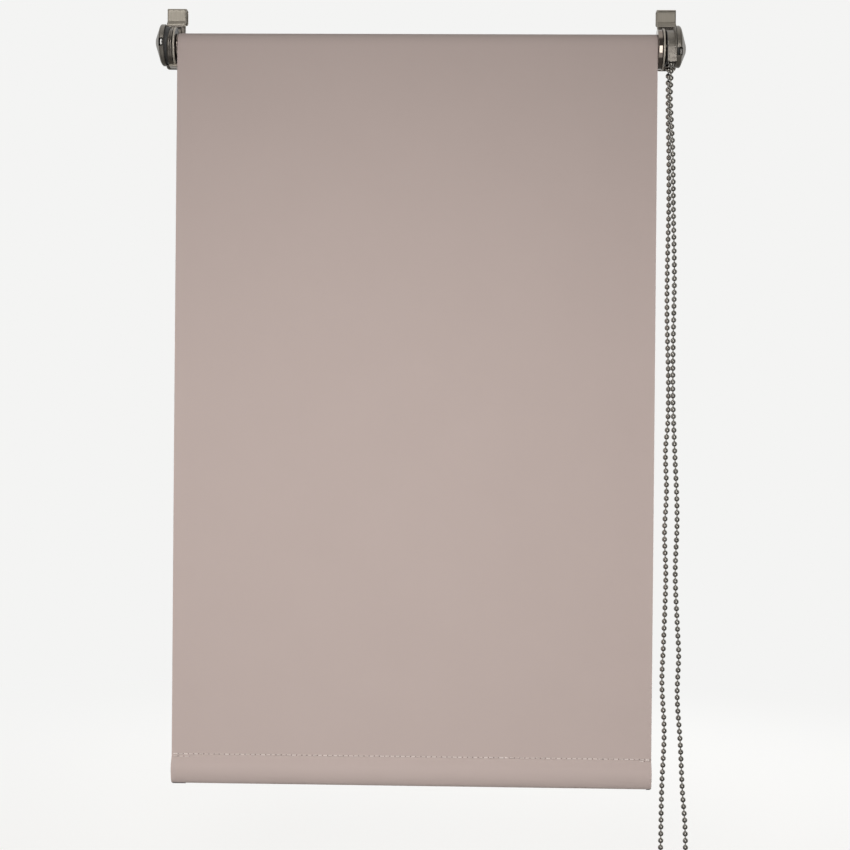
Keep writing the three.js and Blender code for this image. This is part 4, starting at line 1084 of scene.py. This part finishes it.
# Drive collar: a polished ring between the roll and the right plate.
collar = {"inner": 207.4, "outer": 211.4, "radius": 17.2, "bore": 10.5, "round": 0.45}
roundOff = collar["round"]
profile = [(collar["inner"], collar["bore"]), (collar["inner"], collar["radius"] - roundOff)]
profile += [(collar["inner"] + roundOff - roundOff * math.cos(math.radians(a)),
             collar["radius"] - roundOff + roundOff * math.sin(math.radians(a))) for a in range(15, 91, 15)]
profile += [(collar["outer"] - roundOff + roundOff * math.sin(math.radians(a)),
             collar["radius"] - roundOff + roundOff * math.cos(math.radians(a))) for a in range(0, 91, 15)]
profile += [(collar["outer"], collar["bore"])]
dress(turned("polished_collar", profile, 128), darkPlating, "dark_chrome", "roller", "drive_collar", sharp=50)

# The idle end's ring is narrower and lies inside the roll's edge.
idleRing = {"inner": -211.6, "outer": -213.1, "radius": 12.5, "bore": 10.9}
idleProfile = ringProfile(idleRing["bore"], idleRing["radius"], idleRing["outer"], idleRing["inner"])
idleCollar = softenEdges(turned("idle_collar", idleProfile, 96), edges["idleRing"], 3, 50)
dress(idleCollar, darkPlating, "dark_chrome", "roller", sharp=50)


# Chain wheel: twelve round pockets for the balls, a slot for the links and a sleeve with its slot.
wheel = {
    "left": 216.2, "right": 221.8, "radius": 12.7, "sleeveLeft": 197.4, "sleeveBore": 6.5,
    "sleeveRadius": 7.3, "bore": 4.3, "web": 216.8, "pocketRadius": 2.65, "pockets": 12,
    "slotHalf": 1.4, "slotDepth": 1.3, "rim": 0.35, "sleeveSlotHalfAngle": 26,
    "sleeveSlotEnd": 211.8, "sleeveSlotRoom": 0.3,
}


def chainWheel():
    rim = wheel["rim"]
    blank = turned("chain_sprocket", [
        (wheel["sleeveLeft"], wheel["sleeveBore"]), (wheel["sleeveLeft"], wheel["sleeveRadius"]),
        (wheel["left"], wheel["sleeveRadius"]), (wheel["left"], wheel["radius"] - rim),
        (wheel["left"] + rim, wheel["radius"]), (wheel["right"] - rim, wheel["radius"]),
        (wheel["right"], wheel["radius"] - rim), (wheel["right"], wheel["bore"]),
        (wheel["web"], wheel["bore"]), (wheel["web"], wheel["sleeveBore"]),
    ], 72)
    pockets = bmesh.new()
    for i in range(wheel["pockets"]):
        a = 2 * math.pi * (i + 0.5) / wheel["pockets"]
        at = (chain["wheelX"], chain["pitchRadius"] * math.cos(a), chain["pitchRadius"] * math.sin(a))
        bmesh.ops.create_uvsphere(
            pockets, u_segments=20, v_segments=12, radius=wheel["pocketRadius"],
            matrix=Matrix.Translation(at),
        )
    slot = turned("slot", ringProfile(
        chain["pitchRadius"] - wheel["slotDepth"], wheel["radius"] + overrun,
        chain["wheelX"] - wheel["slotHalf"], chain["wheelX"] + wheel["slotHalf"],
    ), 72)
    low, high = 90 - wheel["sleeveSlotHalfAngle"], 90 + wheel["sleeveSlotHalfAngle"]
    sector = arc((0, 0), wheel["sleeveRadius"] + overrun, low, high, 8)
    sector += arc((0, 0), wheel["sleeveBore"] - wheel["sleeveSlotRoom"], high, low, 8)
    sleeveSlot = prism("sleeve slot", sector, wheel["sleeveLeft"] - overrun, wheel["sleeveSlotEnd"])
    cutAway(blank, makePart("pockets", pockets), slot, sleeveSlot)
    return dress(blank, darkMoulding, "dark_plastic", "roller", "chain_wheel", sharp=30)


chainWheel()


# Springs: a wire wound on a helix.
def helix(start, length, mean, turns, startAngle, perTurn=28):
    steps = int(turns * perTurn)
    points = []
    for i in range(steps + 1):
        a = math.radians(startAngle) + 2 * math.pi * turns * i / steps
        points.append(Vector((start + length * i / steps, mean * math.cos(a), mean * math.sin(a))))
    return points


wrapSpring = {
    "wire": 0.9, "mean": 5.75, "start": 199.2, "pitch": 1.45, "turns": 6, "tang": 1, "tangAngle": 16,
}
windTree = wireTree("wound spring", "Wire radius", 8)
turnsWound = wrapSpring["turns"] - 2 * wrapSpring["tangAngle"] / 360
coil = helix(
    wrapSpring["start"], wrapSpring["pitch"] * wrapSpring["turns"], wrapSpring["mean"], turnsWound,
    90 + wrapSpring["tangAngle"],
)
reach = (wrapSpring["mean"] + wrapSpring["tang"]) / wrapSpring["mean"]
tangs = [Vector((p.x, p.y * reach, p.z * reach)) for p in (coil[0], coil[-1])]
clutch = growOnLines(
    "wrap_spring", [[tangs[0], *coil, tangs[1]]], windTree,
    {"Wire radius": wrapSpring["wire"] / 2 * millimetre, "Material": zincSteel},
)
dress(clutch, zincSteel, "spring_steel", "roller", "clutch_spring", sharp=60)

# The idle pin's spring, behind the pin's shoulder, wound at its full length; it would shorten by the pin's
# travel.
idleCoil = {"wire": 0.6, "mean": 3.2, "start": -206.64, "end": -191.4, "turns": 7, "travel": 5.3}
idleLine = helix(
    idleCoil["start"], idleCoil["end"] - idleCoil["start"], idleCoil["mean"], idleCoil["turns"], 0,
)
idleWound = growOnLines(
    "idle_coil", [idleLine], windTree,
    {"Wire radius": idleCoil["wire"] / 2 * millimetre, "Material": zincSteel},
)
dress(idleWound, zincSteel, "spring_steel", "roller", "idle_spring", sharp=60)
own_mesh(idleWound)
print("drive made")


# Roll: one ribbon wound in a spiral, seven turns, ending where the sheet leaves it at the front.
roll = {"outer": 12.8, "cloth": 0.35, "turns": 7, "perTurn": 84, "windIn": 0.358, "edgeStrip": 6}


def woundRoll():
    shape = bmesh.new()
    layer = shape.loops.layers.uv.new("cloth")
    steps = roll["turns"] * roll["perTurn"]
    sides = []
    left, right, strip = ends["clothLeft"], ends["clothRight"], roll["edgeStrip"]
    for x in (left, left + strip, 0, right - strip, right):
        inner, outer = [], []
        for i in range(steps + 1):
            a = math.pi - 2 * math.pi * i / roll["perTurn"]
            radius = roll["outer"] - roll["windIn"] * i / roll["perTurn"]
            outer.append(shape.verts.new((x, radius * math.cos(a), radius * math.sin(a))))
            radius -= roll["cloth"]
            inner.append(shape.verts.new((x, radius * math.cos(a), radius * math.sin(a))))
        sides.append((outer, inner))
    run = [-i * 2 * math.pi / roll["perTurn"] * roll["outer"] * millimetre for i in range(steps + 1)]

    def face(corners, rows):
        made = shape.faces.new(corners)
        for loop, row in zip(made.loops, rows):
            loop[layer].uv = (loop.vert.co.x * millimetre, run[row])

    for here, there in zip(sides, sides[1:]):
        for skin in (0, 1):
            for i in range(steps):
                rows = [i, i + 1, i + 1, i]
                face((here[skin][i], here[skin][i + 1], there[skin][i + 1], there[skin][i]), rows)
        for i in (0, steps):
            face((here[0][i], here[1][i], there[1][i], there[0][i]), [i] * 4)
    for outer, inner in (sides[0], sides[-1]):
        for i in range(steps):
            face((outer[i], outer[i + 1], inner[i + 1], inner[i]), [i, i + 1, i + 1, i])
    bmesh.ops.recalc_face_normals(shape, faces=shape.faces)
    piece = placePart("wound_cloth", shape)
    return dress(piece, clothTaupe, "cloth", "roller", "fabric_roll", sharp=50)


woundRoll()

# Sheet: hangs from the roll's front to the hem, with slack ripples, a slight curl at the edges and a
# faint crease low down.
sheet = {
    "middleY": -12.625, "top": -0.1, "bottom": -618.9, "columns": 130, "rows": 170, "thickness": 0.35,
    "ripple": 0.55, "rippleWide": 150, "rippleTall": 330, "curl": 0.7, "curlWidth": 14, "creaseZ": -563,
    "creaseDepth": 0.22, "creaseHalf": 3.2, "creaseFrom": -112, "creaseTo": 42, "creaseFade": 30,
    "lap": 1.2, "lift": 0.02,
}


def sheetOffset(x, z):
    height = sheet["top"] - sheet["bottom"]
    share = (sheet["top"] - z) / height
    hold = math.sin(math.pi * min(1, max(0, share))) ** 0.7  # none at the roll or at the hem
    spot = Vector((x / sheet["rippleWide"], z / sheet["rippleTall"], 3.7))
    ripple = (noise.noise(spot) - 0.6) * sheet["ripple"] * hold
    edge = min(x - ends["clothLeft"], ends["clothRight"] - x)
    curl = sheet["curl"] * max(0, 1 - edge / sheet["curlWidth"]) ** 2 * hold
    along = min(1, max(0, min(x - sheet["creaseFrom"], sheet["creaseTo"] - x) / sheet["creaseFade"]))
    crease = sheet["creaseDepth"] * along * math.exp(-((z - sheet["creaseZ"]) / sheet["creaseHalf"]) ** 2)
    return ripple - curl - crease


def hangingSheet():
    shape = bmesh.new()
    layer = shape.loops.layers.uv.new("cloth")
    wide = ends["clothRight"] - ends["clothLeft"]
    grid = []
    heights = [sheet["lap"] * (3 - j) / 3 for j in range(3)]
    drop = sheet["top"] - sheet["bottom"]
    heights += [sheet["top"] - drop * j / sheet["rows"] for j in range(sheet["rows"] + 1)]
    for z in heights:
        radius = roll["outer"] + sheet["lift"]  # above the axis the sheet lies on the roll
        back = radius - math.sqrt(radius ** 2 - max(0, z) ** 2)
        row = []
        for i in range(sheet["columns"] + 1):
            x = ends["clothLeft"] + wide * i / sheet["columns"]
            row.append(shape.verts.new((x, sheet["middleY"] - sheet["lift"] + back + sheetOffset(x, z), z)))
        grid.append(row)
    for here, there in zip(grid, grid[1:]):
        for i in range(sheet["columns"]):
            made = shape.faces.new((here[i], there[i], there[i + 1], here[i + 1]))
            for loop in made.loops:
                loop[layer].uv = (loop.vert.co.x * millimetre, -loop.vert.co.z * millimetre)
    piece = thicken(placePart("hanging_cloth", shape), sheet["thickness"])
    return dress(piece, clothTaupe, "cloth", "headrail", "fabric_sheet", sharp=50)


hangingCloth = hangingSheet()

# Hem: the cloth goes down in front of the bar, round it and up behind to the seam.
hem = {
    "top": -618.9, "seam": -619.6, "centre": -635.25, "halfHeight": 10, "halfDepth": 4.45, "columns": 168,
    "pucker": 0.16, "puckerPitch": 6.63, "puckerDrop": 2.4, "puckerTall": 2.2, "sag": 0.35, "sagWide": 60,
    "sagTall": 9, "sagFull": 6, "tilt": 9, "sweep": (122, 392), "steps": 32,
    "front": [(0, -618.9), (-0.1, -620.4), (-0.15, -621.2), (-0.85, -623), (-2.2, -625)],
    "rear": [(2.2, -626.2), (1.2, -623.4), (0.45, -621.2), (0.4, -620.2), (0.4, -619.1)],
}


# The bar hangs from the cloth's front, so it and its pocket lean: the lower edge swings back.
def leaned(y, z):
    a = math.radians(hem["tilt"])
    return (
        sheet["middleY"] + y * math.cos(a) - z * math.sin(a),
        hem["centre"] + y * math.sin(a) + z * math.cos(a),
    )


# The loop's middle line in Y and Z, from the sheet down the front, round and up behind to the flap.
def hemLine():
    front, rear = [[(sheet["middleY"] + y, z) for y, z in hem[part]] for part in ("front", "rear")]
    start, end = hem["sweep"]
    below = []
    for i in range(hem["steps"] + 1):
        a = math.radians(start + (end - start) * i / hem["steps"])
        below.append(leaned(hem["halfDepth"] * math.cos(a), hem["halfHeight"] * math.sin(a)))
    return front + below + rear


def hemPocket():
    shape = bmesh.new()
    layer = shape.loops.layers.uv.new("cloth")
    line = hemLine()
    runs = [0]
    for a, b in zip(line, line[1:]):
        runs.append(runs[-1] + math.hypot(b[0] - a[0], b[1] - a[1]))
    wide = ends["clothRight"] - ends["clothLeft"]
    grid = []
    for i in range(hem["columns"] * 2 + 1):
        x = ends["clothLeft"] + wide * i / (hem["columns"] * 2)
        row = []
        for k, (y, z) in enumerate(line):
            near = math.exp(-((z - hem["seam"] + hem["puckerDrop"]) / hem["puckerTall"]) ** 2)
            pull = math.sin(2 * math.pi * x / hem["puckerPitch"]) * hem["pucker"] * near
            loose = min(1, max(0, (hem["seam"] - z) / hem["sagFull"]))
            lazy = noise.noise(Vector((x / hem["sagWide"], z / hem["sagTall"], 1.3))) * hem["sag"] * loose
            out = -1 if k < len(line) / 2 else 1
            row.append(shape.verts.new((x, y + out * (pull + lazy * 0.5), z)))
        grid.append(row)
    for here, there in zip(grid, grid[1:]):
        for k in range(len(line) - 1):
            made = shape.faces.new((here[k], here[k + 1], there[k + 1], there[k]))
            for loop, row in zip(made.loops, (k, k + 1, k + 1, k)):
                loop[layer].uv = (loop.vert.co.x * millimetre, (runs[row] - hem["top"]) * millimetre)
    piece = thicken(placePart("sewn_hem", shape), sheet["thickness"])
    return dress(piece, clothTaupe, "cloth", "rail", "hem_pocket", sharp=50)


sewnHem = hemPocket()

# Stitches: short humps of thread in a row, each a little out of line, with a fixed seed. The seam climbs
# at its right end. A short row is sewn back at each end, given by its length and its drop at both ends.
stitch = {
    "pitch": 4.5, "length": 3.3, "radius": 0.48, "hump": 0.24, "holeLength": 0.8, "holeRadius": 0.36,
    "holeHump": 0.02, "holeBack": 0.28, "inset": 3.4, "stand": 0.03, "frontSwell": 0.15, "rearSwell": 0.45,
    "backStep": 0.22, "climb": (8, 0.4, 0.6), "leftBack": (10, 2.1, 2.2), "rightBack": (5, 1.2, 0.5),
}


def stitchTree():
    tree, given, output = newTree(
        "lock stitches", ("Pitch", "Float"), ("Length", "Float"), ("Thread radius", "Float"),
        ("Hump", "Float"), ("Lean", "Float"), ("Material", "Material"),
    )
    marks = addNode(
        tree, "GeometryNodeResampleCurve", {},
        {"Curve": givenCurve(tree, given), "Length": given.outputs["Pitch"]}, mode="LENGTH",
    ).outputs["Curve"]
    halfLength = reckon(tree, "MULTIPLY", given.outputs["Length"], 0.5)
    backLength = reckon(tree, "MULTIPLY", halfLength, -1)
    hump = reckon(tree, "MULTIPLY", given.outputs["Hump"], -2)
    corners = [
        addNode(tree, "ShaderNodeCombineXYZ", {}, {"X": backLength}),
        addNode(tree, "ShaderNodeCombineXYZ", {}, {"Y": hump}),
        addNode(tree, "ShaderNodeCombineXYZ", {}, {"X": halfLength}),
    ]
    hill = addNode(
        tree, "GeometryNodeCurveQuadraticBezier", {"Resolution": 5},
        {"Start": corners[0].outputs[0], "Middle": corners[1].outputs[0], "End": corners[2].outputs[0]},
    ).outputs["Curve"]
    one = sweepWire(tree, hill, given.outputs["Thread radius"], 6)
    leans = addNode(tree, "FunctionNodeRandomValue", {2: -1, 3: 1, "Seed": 11}, data_type="FLOAT").outputs[1]
    lean = reckon(tree, "MULTIPLY", leans, given.outputs["Lean"])
    tilt = addNode(tree, "ShaderNodeCombineXYZ", {}, {"Y": lean}).outputs[0]
    size = addNode(
        tree, "FunctionNodeRandomValue", {"Min": (0.85, 0.8, 0.8), "Max": (1.08, 1.15, 1.15), "Seed": 12},
        data_type="FLOAT_VECTOR",
    ).outputs[0]
    stitches = addNode(
        tree, "GeometryNodeInstanceOnPoints", {},
        {"Points": marks, "Instance": one, "Rotation": tilt, "Scale": size},
    ).outputs["Instances"]
    endTree(tree, stitches, given, output)
    return tree


stand = sheet["thickness"] / 2 + stitch["stand"]
frontY = sheet["middleY"] - stitch["frontSwell"] - stand
rearY = sheet["middleY"] + stitch["rearSwell"] + stand
backY = frontY - stitch["backStep"]  # lower down, where the hem begins to swell
seam, first, last = hem["seam"], ends["clothLeft"] + stitch["inset"], ends["clothRight"] - stitch["inset"]
climbRun, climbRise, endRise = stitch["climb"]
leftRun, leftStart, leftEnd = stitch["leftBack"]
rightRun, rightStart, rightEnd = stitch["rightBack"]
rows = [
    [(first, frontY, seam), (last - climbRun, frontY, seam + climbRise), (last, frontY, seam + endRise)],
    [(first, backY, seam - leftStart), (first + leftRun, backY, seam - leftEnd)],
    [(last - rightRun, backY, seam - rightStart), (last, backY, seam - rightEnd)],
    [(first, rearY, seam), (last, rearY, seam)],
]
# Needle holes lie between the stitches, half a pitch on, and just behind their crowns.
holeRows = [[(
    x + stitch["pitch"] / 2, y + math.copysign(stitch["holeBack"], sheet["middleY"] - y), z,
) for x, y, z in row] for row in rows]
for name, lines, length, radius, hump, lean, material in (
    ("hem_stitches", rows, "length", "radius", "hump", 0.1, sewingThread),
    ("needle_holes", holeRows, "holeLength", "holeRadius", "holeHump", 0.25, needleShade),
):
    sewn = growOnLines(name, lines, stitchTree(), {
        "Pitch": stitch["pitch"] * millimetre, "Length": stitch[length] * millimetre,
        "Thread radius": stitch[radius] * millimetre, "Hump": stitch[hump] * millimetre, "Lean": lean,
        "Material": material,
    })
    dress(sewn, material, "cloth", "rail", sharp=60)
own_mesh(hangingCloth)
print("cloth hung")


# Bottom bar and plugs, oval, in the hem.
bar = {
    "height": 19, "depth": 8, "wall": 1.2, "inset": 1.1, "flange": 0.8, "plugDepth": 9, "gap": 0.3,
    "tabLong": {"left": 11.5, "right": 3.5}, "tabWide": 3.4, "tabThick": 0.35, "underside": -645.25,
    "tabSink": 0.1, "tabCorner": 0.2, "stubSink": 0.1,
}


def oval(inset, steps=48):
    wide, tall = bar["depth"] / 2 - inset, bar["height"] / 2 - inset
    angles = [2 * math.pi * i / steps for i in range(steps)]
    return [leaned(wide * math.cos(a), tall * math.sin(a)) for a in angles]


barLeft, barRight = ends["clothLeft"] + bar["inset"], ends["clothRight"] - bar["inset"]
tubeShape = bmesh.new()
loops = []
for x, inset in ((barLeft, bar["wall"]), (barLeft, 0), (barRight, 0), (barRight, bar["wall"])):
    loops.append([tubeShape.verts.new((x, y, z)) for y, z in oval(inset)])
for here, there in zip(loops, loops[1:] + loops[:1]):
    for k in range(len(here)):
        j = (k + 1) % len(here)
        tubeShape.faces.new((here[k], here[j], there[j], there[k]))
weightBar = softenEdges(makePart("weight_bar", tubeShape), edges["bar"], 2, 60)
dress(weightBar, drawnAluminium, "bare_aluminium", "rail", "bottom_bar")
for word, side, end in (("left", -1, barLeft), ("right", 1, barRight)):
    face = end + side * bar["gap"]
    flange = prism("flange", oval(0), *sorted((face, face + side * bar["flange"])))
    stubEnds = sorted((end - side * bar["plugDepth"], face + side * bar["stubSink"]))
    stub = prism("stub", oval(bar["wall"] + bar["gap"]), *stubEnds)
    # A dark tab shows under the fold at the hem's end
    middle = leaned(0, -hem["halfHeight"])[0]
    outline = roundedBox(
        (middle - bar["tabWide"] / 2, bar["underside"] - bar["tabThick"]),
        (middle + bar["tabWide"] / 2, bar["underside"] + bar["tabSink"]), bar["tabCorner"], 3,
    )
    tab = prism("tab", outline, *sorted((face, face - side * bar["tabLong"][word])))
    plug = joinParts(f"bar_end_{word}", [
        softenEdges(flange, edges["plug"], 3, 60), softenEdges(stub, edges["plug"], 2, 60), tab,
    ])
    dress(plug, darkMoulding, "dark_plastic", "rail", f"bar_plug_{word}")

# Pieces kept from the model, with their finishes.
kept = {
    "clutch_post": darkMoulding, "post_screw": zincSteel, "post_clip": zincSteel, "drive_plug": darkMoulding,
    "roller_tube": drawnAluminium, "idle_plug": paleMoulding, "idle_pin": zincSteel,
}
for name, material in kept.items():
    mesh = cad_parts[name].data
    mesh.materials.clear()
    mesh.materials.append(material)
print("rail and inner pieces dressed")


# A plain studio. The key and the back lamp light the blind and its shadow. The panels are seen only in
# polished metal: one low for the balls, two on the left for the strip and the bracket's turned sides, and a
# narrow tall one for the collar.
studio = {
    "floorDrop": 0.06, "floorSize": 9, "floorColour": "#a09f9d", "background": "#f4f4f3", "floorGlow": 0.68,
    "fadeFrom": 0.5, "fadeTo": 1.7, "ambient": (0.2, 0.4), "front": 0.16, "behind": 0.92,
    "key": {
        "place": (-0.09, -1.35, -0.22), "aim": (-0.04, 0, -0.78), "cone": 104, "radius": 0.22, "power": 60,
    },
    "lamps": {
        "back": {"place": (0.3, 1.9, 0.3), "aim": (0, 0, -0.35), "size": (1.4, 1.0), "level": 5,
                 "diffuse": True},
        "low panel": {"place": (0, -0.85, -0.8), "aim": (0, -0.1, -0.1), "size": (1.6, 0.6), "level": 0.45},
        "left panel": {"place": (-0.62, -1.5, 0.3), "aim": (-0.2, 0, -0.03), "size": (0.8, 0.7),
                       "level": 1.0},
        "high panel": {"place": (-0.5, -1.5, 0.9), "aim": (-0.21, 0, -0.04), "size": (0.3, 0.5),
                       "level": 4.2},
        "tall panel": {"place": (0.39, -1.5, -0.28), "aim": (0.21, 0, -0.04), "size": (0.34, 1.05),
                       "level": 3.4},
    },
}
floorShape = bmesh.new()
floorZ = cadBox[0].z - studio["floorDrop"]
wide = studio["floorSize"]
floorCorners = ((-wide, -wide), (wide, -wide), (wide, wide), (-wide, wide))
floorShape.faces.new([floorShape.verts.new((x, y, floorZ)) for x, y in floorCorners])
floor = linkPart("floor", floorShape)
floor.visible_glossy = False


# Matt paint that keeps the shadow. The camera also sees a glow in it, which takes over far away, so the
# floor runs into the background without a line.
def floorPaint():
    material = bpy.data.materials.new("matt floor paint")
    material.use_nodes = True
    tree = material.node_tree
    shader = tree.nodes["Principled BSDF"]
    shader.inputs["Base Color"].default_value = linearColour(studio["floorColour"])
    shader.inputs["Roughness"].default_value = 0.85
    seen = addNode(tree, "ShaderNodeLightPath").outputs["Is Camera Ray"]
    near = reckon(tree, "MULTIPLY", seen, studio["floorGlow"])
    background = linearColour(studio["background"])
    glow = addNode(tree, "ShaderNodeEmission", {"Color": background}, {"Strength": near}).outputs["Emission"]
    paint = addNode(tree, "ShaderNodeAddShader", {}, {0: shader.outputs["BSDF"], 1: glow}).outputs[0]
    place = addNode(tree, "ShaderNodeTexCoord").outputs["Object"]
    flat = addNode(tree, "ShaderNodeMapping", {"Scale": (1, 1, 0)}, {"Vector": place}).outputs["Vector"]
    distance = addNode(tree, "ShaderNodeVectorMath", {}, {0: flat}, operation="LENGTH").outputs["Value"]
    fade = addNode(
        tree, "ShaderNodeMapRange", {"From Min": studio["fadeFrom"], "From Max": studio["fadeTo"]},
        {"Value": distance}, interpolation_type="SMOOTHSTEP",
    ).outputs["Result"]
    far = reckon(tree, "MULTIPLY", fade, seen)
    plain = addNode(tree, "ShaderNodeEmission", {"Color": background, "Strength": 1}).outputs["Emission"]
    mixed = addNode(tree, "ShaderNodeMixShader", {}, {0: far, 1: paint, 2: plain}).outputs[0]
    tree.links.new(mixed, tree.nodes["Material Output"].inputs["Surface"])
    return material


floor.data.materials.append(floorPaint())


def setLamp(light, lamp, lights):
    lampObject = bpy.data.objects.new(light.name, light)
    scene.collection.objects.link(lampObject)
    lampObject.location = lamp["place"]
    away = Vector(lamp["aim"]) - Vector(lamp["place"])
    lampObject.rotation_euler = away.to_track_quat("-Z", "Y").to_euler()
    lampObject.visible_camera = False
    lampObject.visible_diffuse = lights
    lampObject.visible_glossy = not lights


keyLamp = bpy.data.lights.new("key", "SPOT")
keyLamp.spot_size = math.radians(studio["key"]["cone"])
keyLamp.spot_blend = 1
keyLamp.shadow_soft_size = studio["key"]["radius"]
keyLamp.energy = studio["key"]["power"]
setLamp(keyLamp, studio["key"], True)
for word, lamp in studio["lamps"].items():
    light = bpy.data.lights.new(word, "AREA")
    light.shape = "RECTANGLE"
    light.size, light.size_y = lamp["size"]
    light.energy = lamp["level"] * 4 * light.size * light.size_y  # the level is the lamp's own brightness
    setLamp(light, lamp, "diffuse" in lamp)


# The world: pale to the camera, a soft light from above, and in polished metal a dim studio in front
# with the pale background behind and overhead.
def studioWorld():
    world = bpy.data.worlds.new("studio")
    scene.world = world
    world.use_nodes = True
    tree = world.node_tree
    rays = addNode(tree, "ShaderNodeLightPath").outputs
    seen = reckon(tree, "MAXIMUM", rays["Is Camera Ray"], rays["Is Transmission Ray"])
    direction = addNode(tree, "ShaderNodeTexCoord").outputs["Generated"]
    ways = addNode(tree, "ShaderNodeSeparateXYZ", {}, {0: direction}).outputs
    lowest, highest = studio["ambient"]
    soft = addNode(
        tree, "ShaderNodeMapRange", {"From Min": -0.2, "From Max": 1, "To Min": lowest, "To Max": highest},
        {"Value": ways["Z"]},
    ).outputs["Result"]
    shares = []
    for way, start, full in (("Y", 0, 0.45), ("Z", -0.5, -0.1), ("Z", 0.75, 0.95)):
        shares.append(addNode(
            tree, "ShaderNodeMapRange", {"From Min": start, "From Max": full}, {"Value": ways[way]},
            interpolation_type="SMOOTHSTEP",
        ).outputs["Result"])
    pale = reckon(tree, "MAXIMUM", reckon(tree, "MULTIPLY", shares[0], shares[1]), shares[2])
    around = addNode(
        tree, "ShaderNodeMapRange", {"To Min": studio["front"], "To Max": studio["behind"]}, {"Value": pale},
    ).outputs["Result"]
    plain = addNode(
        tree, "ShaderNodeMix", {}, {0: rays["Is Glossy Ray"], 2: soft, 3: around}, data_type="FLOAT",
    ).outputs[0]
    strength = addNode(tree, "ShaderNodeMix", {3: 1}, {0: seen, 2: plain}, data_type="FLOAT").outputs[0]
    sky = tree.nodes["Background"]
    sky.inputs["Color"].default_value = linearColour(studio["background"])
    tree.links.new(strength, sky.inputs["Strength"])


studioWorld()
scene.view_settings.view_transform = "Standard"
print("studio lit")
